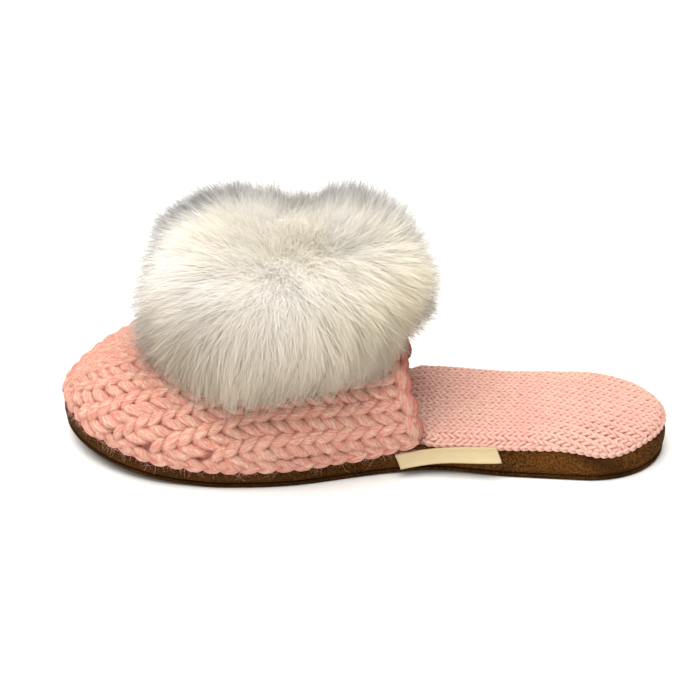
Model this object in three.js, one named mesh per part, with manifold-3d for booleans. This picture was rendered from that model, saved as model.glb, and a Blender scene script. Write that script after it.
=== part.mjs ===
// Pom pom slipper for the right foot: an open-backed mule with a thick hand-knit vamp, a padded
// knit-covered insole, a soft suede sole and a fur pompom on the instep.
// Millimetres. +X runs to the toe, +Y to the wearer's left (the inner side), +Z up.
// The origin lies on the floor, under the middle of the heel's flat spot.
import * as THREE from "three";
import { mergeVertices } from "three/addons/utils/BufferGeometryUtils.js";
import Module from "manifold-3d";

const wasm = await Module();
wasm.setup();

// Sole
const LENGTH = 260; // heel back to toe tip
const HEEL_WIDTH = 63;
const WAIST_WIDTH = 64;
const BALL_WIDTH = 97;
const TOE_WIDTH = 95; // where the toe's round begins
const HEEL_ROUND = 35; // from the heel's back to the end of its round
const TOE_ROUND = 58; // from the toe's tip to the end of its round
const HEEL_SPOT = 33; // the middle of the heel's flat spot, from the heel's back
const OUTSOLE_THICK = 1.8;
const SOLE_WALL = 14.5; // floor to the top of the suede's side, at the heel
const SUEDE_ROUND = 1.8; // how far the suede's side curls in at its top and bottom edges
const HEEL_LIFT = 1.2; // how far the heel's very back leaves the floor
const ARCH_LIFT = 1.3;
const TOE_SPRING = 9;
const SOLE_GAP = 0.3; // between the glued layers
const SPRING_POWER = 1.7; // how late the toe spring rises

// Insole
const PAD_THICK = 5.6; // at the middle of the heel
const PAD_FULLNESS = 0.6; // power of the pad's crown: the smaller, the flatter its middle
const PAD_INSET = 0.7; // the suede's edge to the pad's, behind the vamp
const PAD_BLEND = 6; // the run over which the pad narrows to pass into the vamp
const PAD_GAP = 0.5; // pad to the inside of the vamp, all round

// Vamp
const VAMP_LENGTH = 157; // toe tip to the collar's inner lower corner
const VAMP_RISE = 38; // from the top of the edge braid to the top of the instep
const KNIT_WALL = 5;
const SIDE_FULLNESS = 2.4; // powers of the vamp's section: 2 is an ellipse, more is squarer
const CROWN_FULLNESS = 2.1;
const OVERHANG = 1.6; // how far the knit stands out past the suede
const BRAID_STAND = 1.2; // how much taller the edge braid is than the wall is thick
const BRAID_BULGE = 1.5; // how far the edge braid stands out
const TIP_BRAID = 0.5; // share of the braid's bulge that is left at the toe's tip
const COLLAR_WIDTH = 7.5; // the bound-off edge
const COLLAR_BULGE = 1.3; // how far the bound-off edge stands out
const COLLAR_START = 0.12; // where on its bulge's half wave the bound-off edge begins
const COLLAR_FULLNESS = 0.7; // power of that half wave
const COLLAR_LEAN = 9; // how far the collar's top lies ahead of its inner lower corner
const COLLAR_SKEW = 8; // how far the outer lower corner lies ahead of the inner one
const LEAN_POWER = 1.5; // how far up the instep the lean sets in
const KNIT_GAP = 0.3; // vamp to sole

// Pompom
const POM_LENGTH = 108; // the body of the fur, without the locks' ends
const POM_WIDTH = 97;
const POM_HEIGHT = 74;
const POM_BACK = 98; // toe tip to the pompom's middle
const POM_SIT = 14; // the vamp's top to the pompom's middle
const LOCK_LENGTH = 30; // along the body, from its hidden root to its point
const LOCK_WIDTH = 21;
const LOCK_THICK = 11;
const LOCK_LIFT = 6; // how far its point stands off the body
const LOCK_ROOT = 9; // how deep it starts in the body
const FUR_GAP = 0.4; // fur to vamp

// Side label, sewn into the seam between suede and insole
const TAG_LENGTH = 42;
const TAG_DROP = 5.6;
const TAG_RISE = 1.8; // how far its sewn edge stands above the suede at its heel end
const TAG_TILT = 2.8; // how much lower it sits at its end under the vamp
const TAG_THICK = 1.1; // two layers of woven tape
const TAG_FLARE = 2; // how far its lower edge stands off
const TAG_SLANT = 2.5; // how far its lower edge lies back
const TAG_DIP = 0.3; // how much lower the fold's inner layer hangs than its outer one
const TAG_GAP = 0.3; // label to the suede, and to the knit above it
const TAG_LAP = 11; // how far the label reaches under the vamp, ahead of the collar's lower corner

const HEEL_END = -HEEL_SPOT;
const TOE_END = LENGTH - HEEL_SPOT;
const BRAID_HEIGHT = KNIT_WALL + BRAID_STAND;
const OUTLINE_STEPS = 40; // along the sole, heel to toe
const PAD_STEPS = 8; // across the pad
const TIP_PASSES = 8; // to find where an outline meets the centre line
const WELD = 1e-3; // points closer than this are one
const VAMP_STEPS = 30; // along the vamp, collar to toe
const HEM_STEPS = 4; // of these, across the bound-off edge
const DOME_STEPS = 16; // across the vamp, over the instep
const BRAID_STEPS = 4; // up the edge braid
const TUFT_DETAIL = 3; // splits along each edge of the fur's twenty-sided start
const LOCK_SIDES = 6;
const TAG_STEPS = 8; // along the label
const GOLDEN_ANGLE = Math.PI * (3 - Math.sqrt(5));

// Plan of the sole: place as a share of the length, the named width there, and the share of that
// width on the inner and on the outer side of the centre line.
const PLAN = [
  { at: 0.0, width: HEEL_WIDTH, inner: 0.5, outer: 0.5 },
  { at: 0.13, width: HEEL_WIDTH, inner: 0.5, outer: 0.5 },
  { at: 0.27, width: WAIST_WIDTH, inner: 0.485, outer: 0.5 },
  { at: 0.37, width: WAIST_WIDTH, inner: 0.475, outer: 0.54 },
  { at: 0.46, width: BALL_WIDTH, inner: 0.345, outer: 0.405 },
  { at: 0.6, width: BALL_WIDTH, inner: 0.465, outer: 0.48 },
  { at: 0.71, width: BALL_WIDTH, inner: 0.505, outer: 0.495 },
  { at: 0.8, width: TOE_WIDTH, inner: 0.51, outer: 0.49 },
  { at: 1.0, width: TOE_WIDTH, inner: 0.5, outer: 0.5 },
];

// Side of the sole: place as a share of the length, the top of the suede as a share of SOLE_WALL,
// the pad's thickness as a share of PAD_THICK, and how far the knit stands out past the suede as
// a share of OVERHANG.
const SIDE = [
  { at: 0.0, wall: 0.98, pad: 0.9, over: 1.0 },
  { at: 0.15, wall: 1.0, pad: 1.0, over: 1.0 },
  { at: 0.3, wall: 0.88, pad: 1.0, over: 1.0 },
  { at: 0.42, wall: 0.76, pad: 0.95, over: 1.0 },
  { at: 0.6, wall: 0.62, pad: 0.85, over: 1.0 },
  { at: 0.85, wall: 0.62, pad: 0.6, over: 0.8 },
  { at: 1.0, wall: 0.64, pad: 0.3, over: 0.0 },
];

// Top of the vamp: place as a share of the way from the toe tip to the collar, and the height as
// a share of VAMP_RISE.
const INSTEP = [
  { at: 0.0, rise: 0.0 },
  { at: 0.09, rise: 0.3 },
  { at: 0.2, rise: 0.63 },
  { at: 0.34, rise: 0.8 },
  { at: 0.55, rise: 0.94 },
  { at: 0.8, rise: 1.0 },
  { at: 1.1, rise: 1.0 },
];

// Where the sole leaves the floor, as shares of the length.
const HEEL_FLAT = { from: 0.05, to: 0.24 };
const BALL_FLAT = { from: 0.5, to: 0.7 };

// Sides of the slabs, bottom to top: the edge's inset as a share of the piece's own round, and the
// height as a share of its thickness.
const OUTSOLE_SIDE = [
  { inset: 0.7, up: 0.0 },
  { inset: 0.35, up: 0.35 },
  { inset: 0.35, up: 1.0 },
];
const SUEDE_SIDE = [
  { inset: 0.8, up: 0.0 },
  { inset: 0.25, up: 0.16 },
  { inset: 0.0, up: 0.42 },
  { inset: 0.1, up: 0.7 },
  { inset: 0.45, up: 0.9 },
  { inset: 1.0, up: 1.0 },
];
const PAD_SIDE = [
  { inset: 0.16, up: 0.0 },
  { inset: 0.0, up: 0.2 },
  { inset: 0.1, up: 0.45 },
  { inset: 0.4, up: 0.72 },
  { inset: 0.95, up: 0.88 },
];

// The fur's body: tufts that grow into each other. Their middles, from the pompom's middle, and
// their half sizes are shares of the pompom's length, width and height; locks is how many grow
// out of a tuft.
const TUFTS = [
  { x: 0.0, y: 0.03, z: -0.1, length: 0.5, width: 0.5, height: 0.38, locks: 38 },
  { x: 0.19, y: -0.06, z: 0.14, length: 0.31, width: 0.38, height: 0.36, locks: 19 },
  { x: -0.21, y: -0.05, z: 0.13, length: 0.29, width: 0.38, height: 0.35, locks: 19 },
];

// A lock along its length: the size of its section as a share of its width and thickness.
const LOCK = [
  { at: 0.1, size: 0.6 },
  { at: 0.4, size: 1.0 },
  { at: 0.72, size: 0.72 },
  { at: 1.0, size: 0.0 },
];

// The label's fold, top to bottom: how far out as a share of TAG_FLARE, how far down as a share of
// TAG_DROP.
const FOLD = [
  { out: 0.0, down: 0.0 },
  { out: 0.04, down: 0.25 },
  { out: 0.25, down: 0.5 },
  { out: 0.6, down: 0.78 },
  { out: 1.0, down: 1.0 },
];

const clamp = (v) => Math.min(1, Math.max(0, v));
const smooth = (v) => clamp(v) ** 2 * (3 - 2 * clamp(v));
const mix = THREE.MathUtils.lerp;

// Value of a table's column at a place: a cubic through the rows, with slopes from the
// neighbouring rows, flat at both ends.
function column(table, name, at) {
  const last = table.length - 1;
  if (at <= table[0].at) return name(table[0]);
  if (at >= table[last].at) return name(table[last]);
  const i = table.findIndex((row) => row.at > at) - 1;
  const slope = (k) => {
    if (k <= 0 || k >= last) return 0;
    const run = table[k + 1].at - table[k - 1].at;
    return (name(table[k + 1]) - name(table[k - 1])) / run;
  };
  const run = table[i + 1].at - table[i].at;
  const t = (at - table[i].at) / run;
  const a = name(table[i]);
  const b = name(table[i + 1]);
  const ease = t * t * (3 - 2 * t);
  const lead = t * (1 - t) * (1 - t) * slope(i) * run;
  const trail = t * t * (1 - t) * slope(i + 1) * run;
  return mix(a, b, ease) + lead - trail;
}

// Width factor of a round end: zero at the end, one where the round is over.
function round(distance, radius) {
  return Math.sqrt(1 - (1 - clamp(distance / radius)) ** 2);
}

// Half width of the sole's plan at x, on the inner (side 1) or outer (side -1) side, with the
// whole outline drawn in by the inset.
function halfWidth(x, side, inset) {
  const at = (x - HEEL_END) / LENGTH;
  const body = column(PLAN, (row) => row.width * (side > 0 ? row.inner : row.outer), at);
  const heel = round(x - HEEL_END - inset, HEEL_ROUND - inset);
  const toe = round(TOE_END - inset - x, TOE_ROUND - inset);
  return (body - inset) * heel * toe;
}

// Height of the sole's underside at x: flat spots at the heel and the ball, the arch between
// them, a little lift at the heel's back and the toe spring.
function lift(x) {
  const at = (x - HEEL_END) / LENGTH;
  const back = clamp((HEEL_FLAT.from - at) / HEEL_FLAT.from);
  const arch = clamp((at - HEEL_FLAT.to) / (BALL_FLAT.from - HEEL_FLAT.to));
  const toe = clamp((at - BALL_FLAT.to) / (1 - BALL_FLAT.to));
  const spring = TOE_SPRING * toe ** SPRING_POWER;
  return HEEL_LIFT * back ** 2 + ARCH_LIFT * Math.sin(Math.PI * arch) ** 2 + spring;
}

const suedeTop = (x) => lift(x) + SOLE_WALL * column(SIDE, (row) => row.wall, (x - HEEL_END) / LENGTH);
const padThick = (x) => PAD_THICK * column(SIDE, (row) => row.pad, (x - HEEL_END) / LENGTH);

// One closed surface from patches of points; a patch is rows of equal length. Cells that shrink to
// nothing at a tip are left out.
function skin(patches) {
  const places = [];
  for (const rows of patches) {
    for (let i = 0; i + 1 < rows.length; i++) {
      for (let j = 0; j + 1 < rows[i].length; j++) {
        const [a, b] = [rows[i][j], rows[i][j + 1]];
        const [c, d] = [rows[i + 1][j + 1], rows[i + 1][j]];
        for (const corners of [[a, b, c], [a, c, d]]) {
          const [p, q, r] = corners;
          const shortest = Math.min(p.distanceTo(q), q.distanceTo(r), r.distanceTo(p));
          if (shortest < WELD / 10) continue;
          for (const v of corners) places.push(v.x, v.y, v.z);
        }
      }
    }
  }
  const geometry = new THREE.BufferGeometry();
  geometry.setAttribute("position", new THREE.Float32BufferAttribute(places, 3));
  return mergeVertices(geometry, WELD);
}

function solidOf(geometry) {
  return new wasm.Manifold(
    new wasm.Mesh({
      numProp: 3,
      vertProperties: geometry.getAttribute("position").array,
      triVerts: new Uint32Array(geometry.index.array),
    }),
  );
}

function geometryOf(solid) {
  const mesh = solid.getMesh();
  const geometry = new THREE.BufferGeometry();
  geometry.setAttribute("position", new THREE.BufferAttribute(mesh.vertProperties, 3));
  geometry.setIndex(new THREE.BufferAttribute(mesh.triVerts, 1));
  return geometry;
}

// Places along the sole, closer together at its round ends.
function stations(from, to) {
  const list = [];
  for (let i = 0; i <= OUTLINE_STEPS; i++) {
    list.push(mix(from, to, (1 - Math.cos((Math.PI * i) / OUTLINE_STEPS)) / 2));
  }
  return list;
}

// Where an outline whose inset changes along x meets the centre line at the toe.
function toeTip(inset) {
  let tip = TOE_END;
  for (let pass = 0; pass < TIP_PASSES; pass++) tip = TOE_END - inset(tip);
  return tip;
}

// One side's edge points from heel to toe, at an inset and a height that may change along x, with
// points of their own where the inset steps.
function edge(side, inset, height, steps) {
  const tip = toeTip((x) => inset(x, side));
  const places = [...stations(HEEL_END + inset(HEEL_END, side), tip), ...steps(side)];
  places.sort((a, b) => a - b);
  return places.map((x, i) => {
    const half = i < places.length - 1 ? halfWidth(x, side, inset(x, side)) : 0;
    return new THREE.Vector3(x, side * half, height(x));
  });
}

// A slab that follows the sole's plan: a ring for each level, closed flat below and, above, by a
// surface that rises by the crown between the edges.
function slab(levels, crown = () => 0, across = 1, steps = () => []) {
  const inner = levels.map((level) => edge(1, level.inset, level.height, steps));
  const outer = levels.map((level) => edge(-1, level.inset, level.height, steps));
  const lid = (a, b, rise, cells) => {
    const rows = [];
    for (let i = 0; i < a.length; i++) {
      const row = [];
      for (let j = 0; j <= cells; j++) {
        const t = j / cells;
        const point = a[i].clone().lerp(b[i], t);
        const share = clamp((2 * a[i].distanceTo(b[i])) / HEEL_WIDTH);
        point.z += rise(a[i].x) * share * (1 - (2 * t - 1) ** 2) ** PAD_FULLNESS;
        row.push(point);
      }
      rows.push(row);
    }
    return rows;
  };
  const top = levels.length - 1;
  return skin([
    inner.toReversed(),
    outer,
    lid(inner[top], outer[top], crown, across),
    lid(outer[0], inner[0], () => 0, 1),
  ]);
}

function outsole() {
  const levels = OUTSOLE_SIDE.map((row) => ({
    inset: () => SUEDE_ROUND * row.inset,
    height: (x) => lift(x) + OUTSOLE_THICK * row.up,
  }));
  return slab(levels);
}

function midsole() {
  const bottom = (x) => lift(x) + OUTSOLE_THICK + SOLE_GAP;
  const levels = SUEDE_SIDE.map((row) => ({
    inset: () => SUEDE_ROUND * row.inset,
    height: (x) => mix(bottom(x), suedeTop(x), row.up),
  }));
  return slab(levels);
}

// Where the collar's foot stands on each side.
const collarFoot = (side) => TOE_END - VAMP_LENGTH + (side < 0 ? COLLAR_SKEW : 0);
const overhang = (x) => OVERHANG * column(SIDE, (row) => row.over, (x - HEEL_END) / LENGTH);

function insole() {
  const narrowFrom = (side) => collarFoot(side) - PAD_GAP - PAD_BLEND;
  const edgeInset = (x, side) => {
    const inVamp = KNIT_WALL - overhang(x) + PAD_GAP;
    return mix(PAD_INSET, inVamp, smooth((x - narrowFrom(side)) / PAD_BLEND));
  };
  const levels = PAD_SIDE.map((row) => ({
    inset: (x, side) => edgeInset(x, side) + padThick(x) * row.inset,
    height: (x) => suedeTop(x) + SOLE_GAP + padThick(x) * row.up,
  }));
  const flat = PAD_SIDE[PAD_SIDE.length - 1].up;
  const steps = (side) => [0, 0.5, 1].map((share) => narrowFrom(side) + share * PAD_BLEND);
  return slab(levels, (x) => padThick(x) * (1 - flat), PAD_STEPS, steps);
}

// How far a place stands out for the bound-off edge round the collar.
function collarBulge(x, collar) {
  const t = (x - collar) / COLLAR_WIDTH;
  const wave = Math.sin(Math.PI * clamp(mix(COLLAR_START, 1, t)));
  return COLLAR_BULGE * wave ** COLLAR_FULLNESS;
}

// A point of the vamp. `step` counts from the collar, over the bound-off edge, to the toe,
// `around` runs from the inner foot (0) over the instep to the outer foot (1), and `depth` is how
// far under the outer surface it lies. `swell` switches the braid and the bound-off edge on.
function vampPoint(step, around, depth, swell) {
  const braid = BRAID_STEPS / (2 * BRAID_STEPS + DOME_STEPS);
  const side = around <= 0.5 ? 1 : -1;
  const fromFoot = around <= 0.5 ? around : 1 - around;
  const up = clamp(fromFoot / braid);
  const turn = clamp((fromFoot - braid) / (0.5 - braid)) * (Math.PI / 2);
  const reach = Math.cos(turn) ** (2 / SIDE_FULLNESS);
  const crest = Math.sin(turn) ** (2 / CROWN_FULLNESS);
  const lean = COLLAR_LEAN * Math.sin(Math.PI * around) ** LEAN_POWER;
  const collar = mix(collarFoot(1), collarFoot(-1), smooth(around)) + lean;
  const bulge = swell && turn === 0 ? BRAID_BULGE * Math.sin(Math.PI * up) : 0;
  const inset = (place) => {
    const over = overhang(place);
    return depth - over - mix(TIP_BRAID, 1, over / OVERHANG) * bulge;
  };
  const tip = toeTip(inset);
  const hemEnd = collar + COLLAR_WIDTH;
  const beyond = (step - HEM_STEPS) / (VAMP_STEPS - HEM_STEPS);
  const inHem = mix(collar, hemEnd, step / HEM_STEPS);
  const x = beyond > 0 ? mix(hemEnd, tip, Math.sin((Math.PI / 2) * beyond)) : inHem;
  const hem = swell ? collarBulge(x, collar) : 0;
  const half = step < VAMP_STEPS ? halfWidth(x, side, inset(x) - hem) * reach : 0;
  const base = suedeTop(x) + KNIT_GAP;
  const rise = VAMP_RISE * column(INSTEP, (row) => row.rise, (tip - x) / VAMP_LENGTH);
  const z = base + (BRAID_HEIGHT - depth) * up + (rise + hem) * crest;
  return new THREE.Vector3(x, side * half, z);
}

function vampRows(depth, swell) {
  const rows = [];
  const around = 2 * BRAID_STEPS + DOME_STEPS;
  for (let i = 0; i <= VAMP_STEPS; i++) {
    const row = [];
    for (let j = 0; j <= around; j++) row.push(vampPoint(i, j / around, depth, swell));
    rows.push(row);
  }
  return rows;
}

function vamp() {
  const outside = vampRows(0, true);
  const inside = vampRows(KNIT_WALL, false);
  const end = outside[0].length - 1;
  const strip = (pick) => [outside.map(pick), inside.map(pick)];
  return skin([
    outside,
    inside.toReversed(),
    strip((row) => row[0]),
    strip((row) => row[end]).toReversed(),
    [outside[0], inside[0]].toReversed(),
  ]);
}

// The vamp's outer surface grown by the fur's gap and closed underneath, to seat the pompom on.
function vampBlock() {
  const outside = vampRows(-FUR_GAP, true);
  const foot = outside.map((row) => [row[row.length - 1], row[0]]);
  const corner = outside[0].map(() => outside[0][0]);
  return skin([outside, foot, [corner, outside[0]]]);
}

// A lock of fur: a flattened, bent cone that leaves the body at its root, lies down along it and
// lifts off at its end. `out` points off the body and `flow` down along it.
function lock(surface, out, flow) {
  const at = (along, lift) => surface.clone().addScaledVector(flow, along).addScaledVector(out, lift);
  const root = at(-LOCK_LENGTH / 2, -LOCK_ROOT);
  const spine = new THREE.QuadraticBezierCurve3(root, at(0, LOCK_LIFT), at(LOCK_LENGTH / 2, LOCK_LIFT));
  const across = flow.clone().cross(out);
  const rows = LOCK.map((row) => {
    const middle = spine.getPoint(row.at);
    const normal = spine.getTangent(row.at).cross(across).normalize();
    const ring = [];
    for (let k = 0; k <= LOCK_SIDES; k++) {
      const turn = ((k % LOCK_SIDES) / LOCK_SIDES) * 2 * Math.PI;
      const point = middle.clone().addScaledVector(across, (LOCK_WIDTH / 2) * row.size * Math.cos(turn));
      ring.push(point.addScaledVector(normal, (LOCK_THICK / 2) * row.size * Math.sin(turn)));
    }
    return ring;
  });
  const foot = rows[0].map(() => root);
  return solidOf(skin([[foot, ...rows]]));
}

// A tuft's ellipsoid with its locks, spread evenly over it by the golden angle. They flow away
// from its top.
function tuft(row, middle) {
  const size = new THREE.Vector3(row.length * POM_LENGTH, row.width * POM_WIDTH, row.height * POM_HEIGHT);
  const place = new THREE.Vector3(row.x * POM_LENGTH, row.y * POM_WIDTH, row.z * POM_HEIGHT).add(middle);
  const ball = new THREE.IcosahedronGeometry(1, TUFT_DETAIL);
  ball.scale(size.x, size.y, size.z).translate(place.x, place.y, place.z);
  ball.deleteAttribute("normal");
  ball.deleteAttribute("uv");
  let solid = solidOf(mergeVertices(ball, WELD));
  for (let i = 0; i < row.locks; i++) {
    const up = 1 - (2 * (i + 0.5)) / row.locks;
    const turn = i * GOLDEN_ANGLE;
    const flat = Math.sqrt(1 - up * up);
    const way = new THREE.Vector3(flat * Math.cos(turn), flat * Math.sin(turn), up);
    const surface = way.clone().multiply(size).add(place);
    const out = way.clone().divide(size).normalize();
    const flow = new THREE.Vector3(0, 0, -1).addScaledVector(out, out.z).normalize();
    solid = solid.add(lock(surface, out, flow));
  }
  return solid;
}

function pompom() {
  const x = TOE_END - POM_BACK;
  const top = suedeTop(x) + KNIT_GAP + BRAID_HEIGHT + VAMP_RISE;
  const middle = new THREE.Vector3(x, 0, top + POM_SIT);
  const [first, ...others] = TUFTS.map((row) => tuft(row, middle));
  const fur = others.reduce((whole, piece) => whole.add(piece), first);
  return geometryOf(fur.subtract(solidOf(vampBlock())));
}

// The folded label: its section swept along the suede's inner side.
function label() {
  const root = TAG_GAP + TAG_THICK / 2;
  const loop = [];
  for (const face of [-1, 1]) {
    const rows = face < 0 ? FOLD : FOLD.toReversed();
    for (const row of rows) loop.push({ ...row, face });
  }
  const start = collarFoot(1) + TAG_LAP - TAG_LENGTH;
  const ring = (along) => loop.map((row) => {
    const out = root + (row.face * TAG_THICK) / 2 + TAG_FLARE * row.out;
    const place = start + TAG_LENGTH * along - TAG_SLANT * row.down;
    const dip = row.down === 1 && row.face < 0 ? TAG_DIP : 0;
    const sewn = suedeTop(place) + TAG_RISE - TAG_TILT * along;
    return new THREE.Vector3(place, halfWidth(place, 1, -out), sewn - TAG_DROP * row.down - dip);
  });
  const rings = [];
  for (let i = 0; i <= TAG_STEPS; i++) {
    const points = ring(i / TAG_STEPS);
    rings.push([...points, points[0]]);
  }
  const flap = (points) => {
    const half = FOLD.length;
    return [points.slice(0, half), points.slice(half, 2 * half).toReversed()];
  };
  return skin([rings, flap(rings[0]).toReversed(), flap(rings[TAG_STEPS])]);
}

const root = new THREE.Group();

function add(name, geometry, colour, roughness) {
  const material = new THREE.MeshStandardMaterial({ color: colour, roughness, metalness: 0 });
  const mesh = new THREE.Mesh(geometry, material);
  mesh.name = name;
  root.add(mesh);
}

add("outsole", outsole(), 0x5a4228, 0.95);
add("midsole", midsole(), 0x6b5030, 0.95);
add("insole", insole(), 0xe9a3a0, 0.9);
add("upper", vamp(), 0xeeaaa4, 0.9);
add("pompom", pompom(), 0xf1efe6, 1.0);
add("tag", label(), 0xf3ead0, 0.8);

export default root;
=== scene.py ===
"""Looks of the pom pom slipper: chunky knit vamp, fine knit insole, suede sole, fur pompom, label."""

import bpy
import numpy as np
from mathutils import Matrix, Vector


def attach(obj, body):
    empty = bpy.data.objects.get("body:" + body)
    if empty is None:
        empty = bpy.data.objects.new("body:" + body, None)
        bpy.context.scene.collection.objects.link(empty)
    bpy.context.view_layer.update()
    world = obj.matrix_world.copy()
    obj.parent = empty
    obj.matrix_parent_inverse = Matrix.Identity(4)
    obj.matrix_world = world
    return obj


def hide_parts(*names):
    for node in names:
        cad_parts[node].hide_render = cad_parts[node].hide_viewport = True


bl_info = {
    "name": "Pom Pom Slipper",
    "version": (1, 0, 0),
    "blender": (4, 5, 0),
    "location": "View3D > Sidebar > Slipper",
    "description": "Builds the knit, suede, fur and label of the slipper round its frame",
    "category": "Object",
}

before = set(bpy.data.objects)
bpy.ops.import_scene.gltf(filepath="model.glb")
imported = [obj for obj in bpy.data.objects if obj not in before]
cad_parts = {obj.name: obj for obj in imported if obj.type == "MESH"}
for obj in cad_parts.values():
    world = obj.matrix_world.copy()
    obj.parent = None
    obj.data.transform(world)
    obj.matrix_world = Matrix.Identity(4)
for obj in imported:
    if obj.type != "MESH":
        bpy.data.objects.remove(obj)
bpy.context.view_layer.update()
MM = 0.001
PER_METRE = 1000  # millimetres

# Sizes of the solids in millimetres, as the part's source has them.
LENGTH = 260.0
HEEL_WIDTH, WAIST_WIDTH, BALL_WIDTH, TOE_WIDTH = 63.0, 64.0, 97.0, 95.0
HEEL_ROUND, TOE_ROUND, HEEL_SPOT = 35.0, 58.0, 33.0
OUTSOLE_THICK, SOLE_WALL, SUEDE_ROUND, SOLE_GAP = 1.8, 14.5, 1.8, 0.3
HEEL_LIFT, ARCH_LIFT, TOE_SPRING, SPRING_POWER = 1.2, 1.3, 9.0, 1.7
PAD_THICK, PAD_INSET, PAD_BLEND, PAD_GAP, PAD_FULLNESS = 5.6, 0.7, 6.0, 0.5, 0.6
VAMP_LENGTH, VAMP_RISE, KNIT_WALL, OVERHANG, KNIT_GAP = 157.0, 38.0, 5.0, 1.6, 0.3
SIDE_FULLNESS, CROWN_FULLNESS = 2.4, 2.1
BRAID_STAND, COLLAR_LEAN, COLLAR_SKEW, LEAN_POWER = 1.2, 9.0, 8.0, 1.5
POM_LENGTH, POM_WIDTH, POM_HEIGHT, POM_BACK, POM_SIT = 108.0, 97.0, 74.0, 98.0, 14.0
TAG_LENGTH, TAG_DROP, TAG_THICK, TAG_FLARE, TAG_SLANT = 42.0, 5.6, 1.1, 2.0, 2.5
TAG_RISE, TAG_TILT, TAG_GAP, TAG_LAP = 1.8, 2.8, 0.3, 11.0
HEEL_END, TOE_END = -HEEL_SPOT, LENGTH - HEEL_SPOT
BRAID_HEIGHT = KNIT_WALL + BRAID_STAND
BRAID_SHARE = 1 / 6  # of the way round the vamp, at each foot

# What the solids leave to the looks, in millimetres where nothing else is said: where the
# insole's wales begin to drift and how fast, and where its edge sags beside the heel, over what
# half width, how far down and how far out.
SKEW_FROM, SKEW = 30.0, 0.42
DIP_PLACE, DIP_REACH, DIP_DEPTH, DIP_OUT = -8.0, 13.0, 2.7, 0.9
SHOULDER = 0.92  # round of the pad's shoulder, as a share of its thickness
PAD_EDGE = 0.88  # height of the pad's flat edge, as a share of its thickness
TIP_STEPS = 8  # rounds in which a tip whose inset depends on its place settles

# Plan of the sole: place as a share of the length, and half widths, first as shares of the width
# and after the loop in millimetres.
PLAN = {
    "at": [0, 0.13, 0.27, 0.37, 0.46, 0.6, 0.71, 0.8, 1],
    "width": [HEEL_WIDTH] * 2 + [WAIST_WIDTH] * 2 + [BALL_WIDTH] * 3 + [TOE_WIDTH] * 2,
    "inner": [0.5, 0.5, 0.485, 0.475, 0.345, 0.465, 0.505, 0.51, 0.5],
    "outer": [0.5, 0.5, 0.5, 0.54, 0.405, 0.48, 0.495, 0.49, 0.5],
}
for edge in ("inner", "outer"):
    PLAN[edge] = [share * width for share, width in zip(PLAN[edge], PLAN["width"])]
# Along the sole, as shares: height of the suede's side, thickness of the pad, overhang of the
# knit.
SIDE = {
    "at": [0, 0.15, 0.3, 0.42, 0.6, 0.85, 1],
    "wall": [0.98, 1, 0.88, 0.76, 0.62, 0.62, 0.64],
    "pad": [0.9, 1, 1, 0.95, 0.85, 0.6, 0.3],
    "over": [1, 1, 1, 1, 1, 0.8, 0],
}
# Rise of the vamp's crest, from the tip back.
INSTEP = {"at": [0, 0.09, 0.2, 0.34, 0.55, 0.8, 1.1], "rise": [0, 0.3, 0.63, 0.8, 0.94, 1, 1]}
HEEL_FLAT, BALL_FLAT = (0.05, 0.24), (0.5, 0.7)  # level parts of the underside, along the sole
# How far the edges of the two suede parts are drawn in on the way up, in SUEDE_ROUNDs.
SUEDE_SIDE = {"at": [0, 0.16, 0.42, 0.7, 0.9, 1], "inset": [0.8, 0.25, 0, 0.1, 0.45, 1]}
OUTSOLE_SIDE = {"at": [0, 0.35, 1], "inset": [0.7, 0.35, 0.35]}
SOLE_STEPS = 150  # places along the sole
# Soft waves round the suede's side: radians in a millimetre, shift between the sides, height.
WAVES = ((0.16, 1, 0.22), (0.41, 2, 0.12))
# The suede's pucker beside the heel: place, half length, depth, share on the outer side.
PUCKERS = ((-3, 6, 1.7, 0), (-14, 6, 0.8, 1))

# Where the chunky knit's wales run: for places along the slipper, the distance of each wale's
# middle from the crest of the vamp. The first two start under the fur.
WALES = {
    "at": [66, 82, 120, 140, 165, 185, 205, 218, 230],
    "w0": [0, 0, 0, 0, 0, 0, 0, 0, 0],
    "w1": [3.6, 3.7, 6.5, 8, 9.3, 9.7, 8, 4.5, 2],
    "w2": [7.2, 7.4, 13, 16, 18.5, 20, 16, 9, 5],
    "w3": [10.7, 11.1, 19.5, 24.5, 28.2, 30, 27.2, 20, 12],
    "w4": [21.6, 22.3, 30, 34.5, 37.8, 40.8, 42, 34, 24],
    "w5": [32.6, 33.6, 40, 43.5, 48, 53.3, 57, 50, 40],
    "w6": [43.6, 44.7, 50.4, 53, 61, 67, 72, 66, 56],
    "w7": [54.6, 55.8, 62, 65.5, 75, 81, 87, 82, 72],
    "w8": [65, 66.5, 73.5, 78, 88, 95, 102, 98, 88],
}
NEW_WALES_FROM = 118.0
MEAN_WALE = 10.5  # width of a wale that is knitted in yarn of the plain thickness
HANG_FROM, HANG_TO = 72.0, 215.0  # where the edge braid hangs, along the ball
HANG_DOWN, HANG_OUT = 1.4, 0.8
FIBRE_WIDTHS = (0.07, 0.06, 0.045)  # of a loose fibre, root to tip
INSOLE_WALES = 30
RIM_LAP, COVER_LAP = 12.0, 26.0  # past the collar's foot: end of the insole's edge and full knit
CLOTH_HALF = 110.0  # half width of the vamp's chart
WRAP_BLOCK = 20000  # points of the insole's pattern that are wrapped at a time

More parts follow.
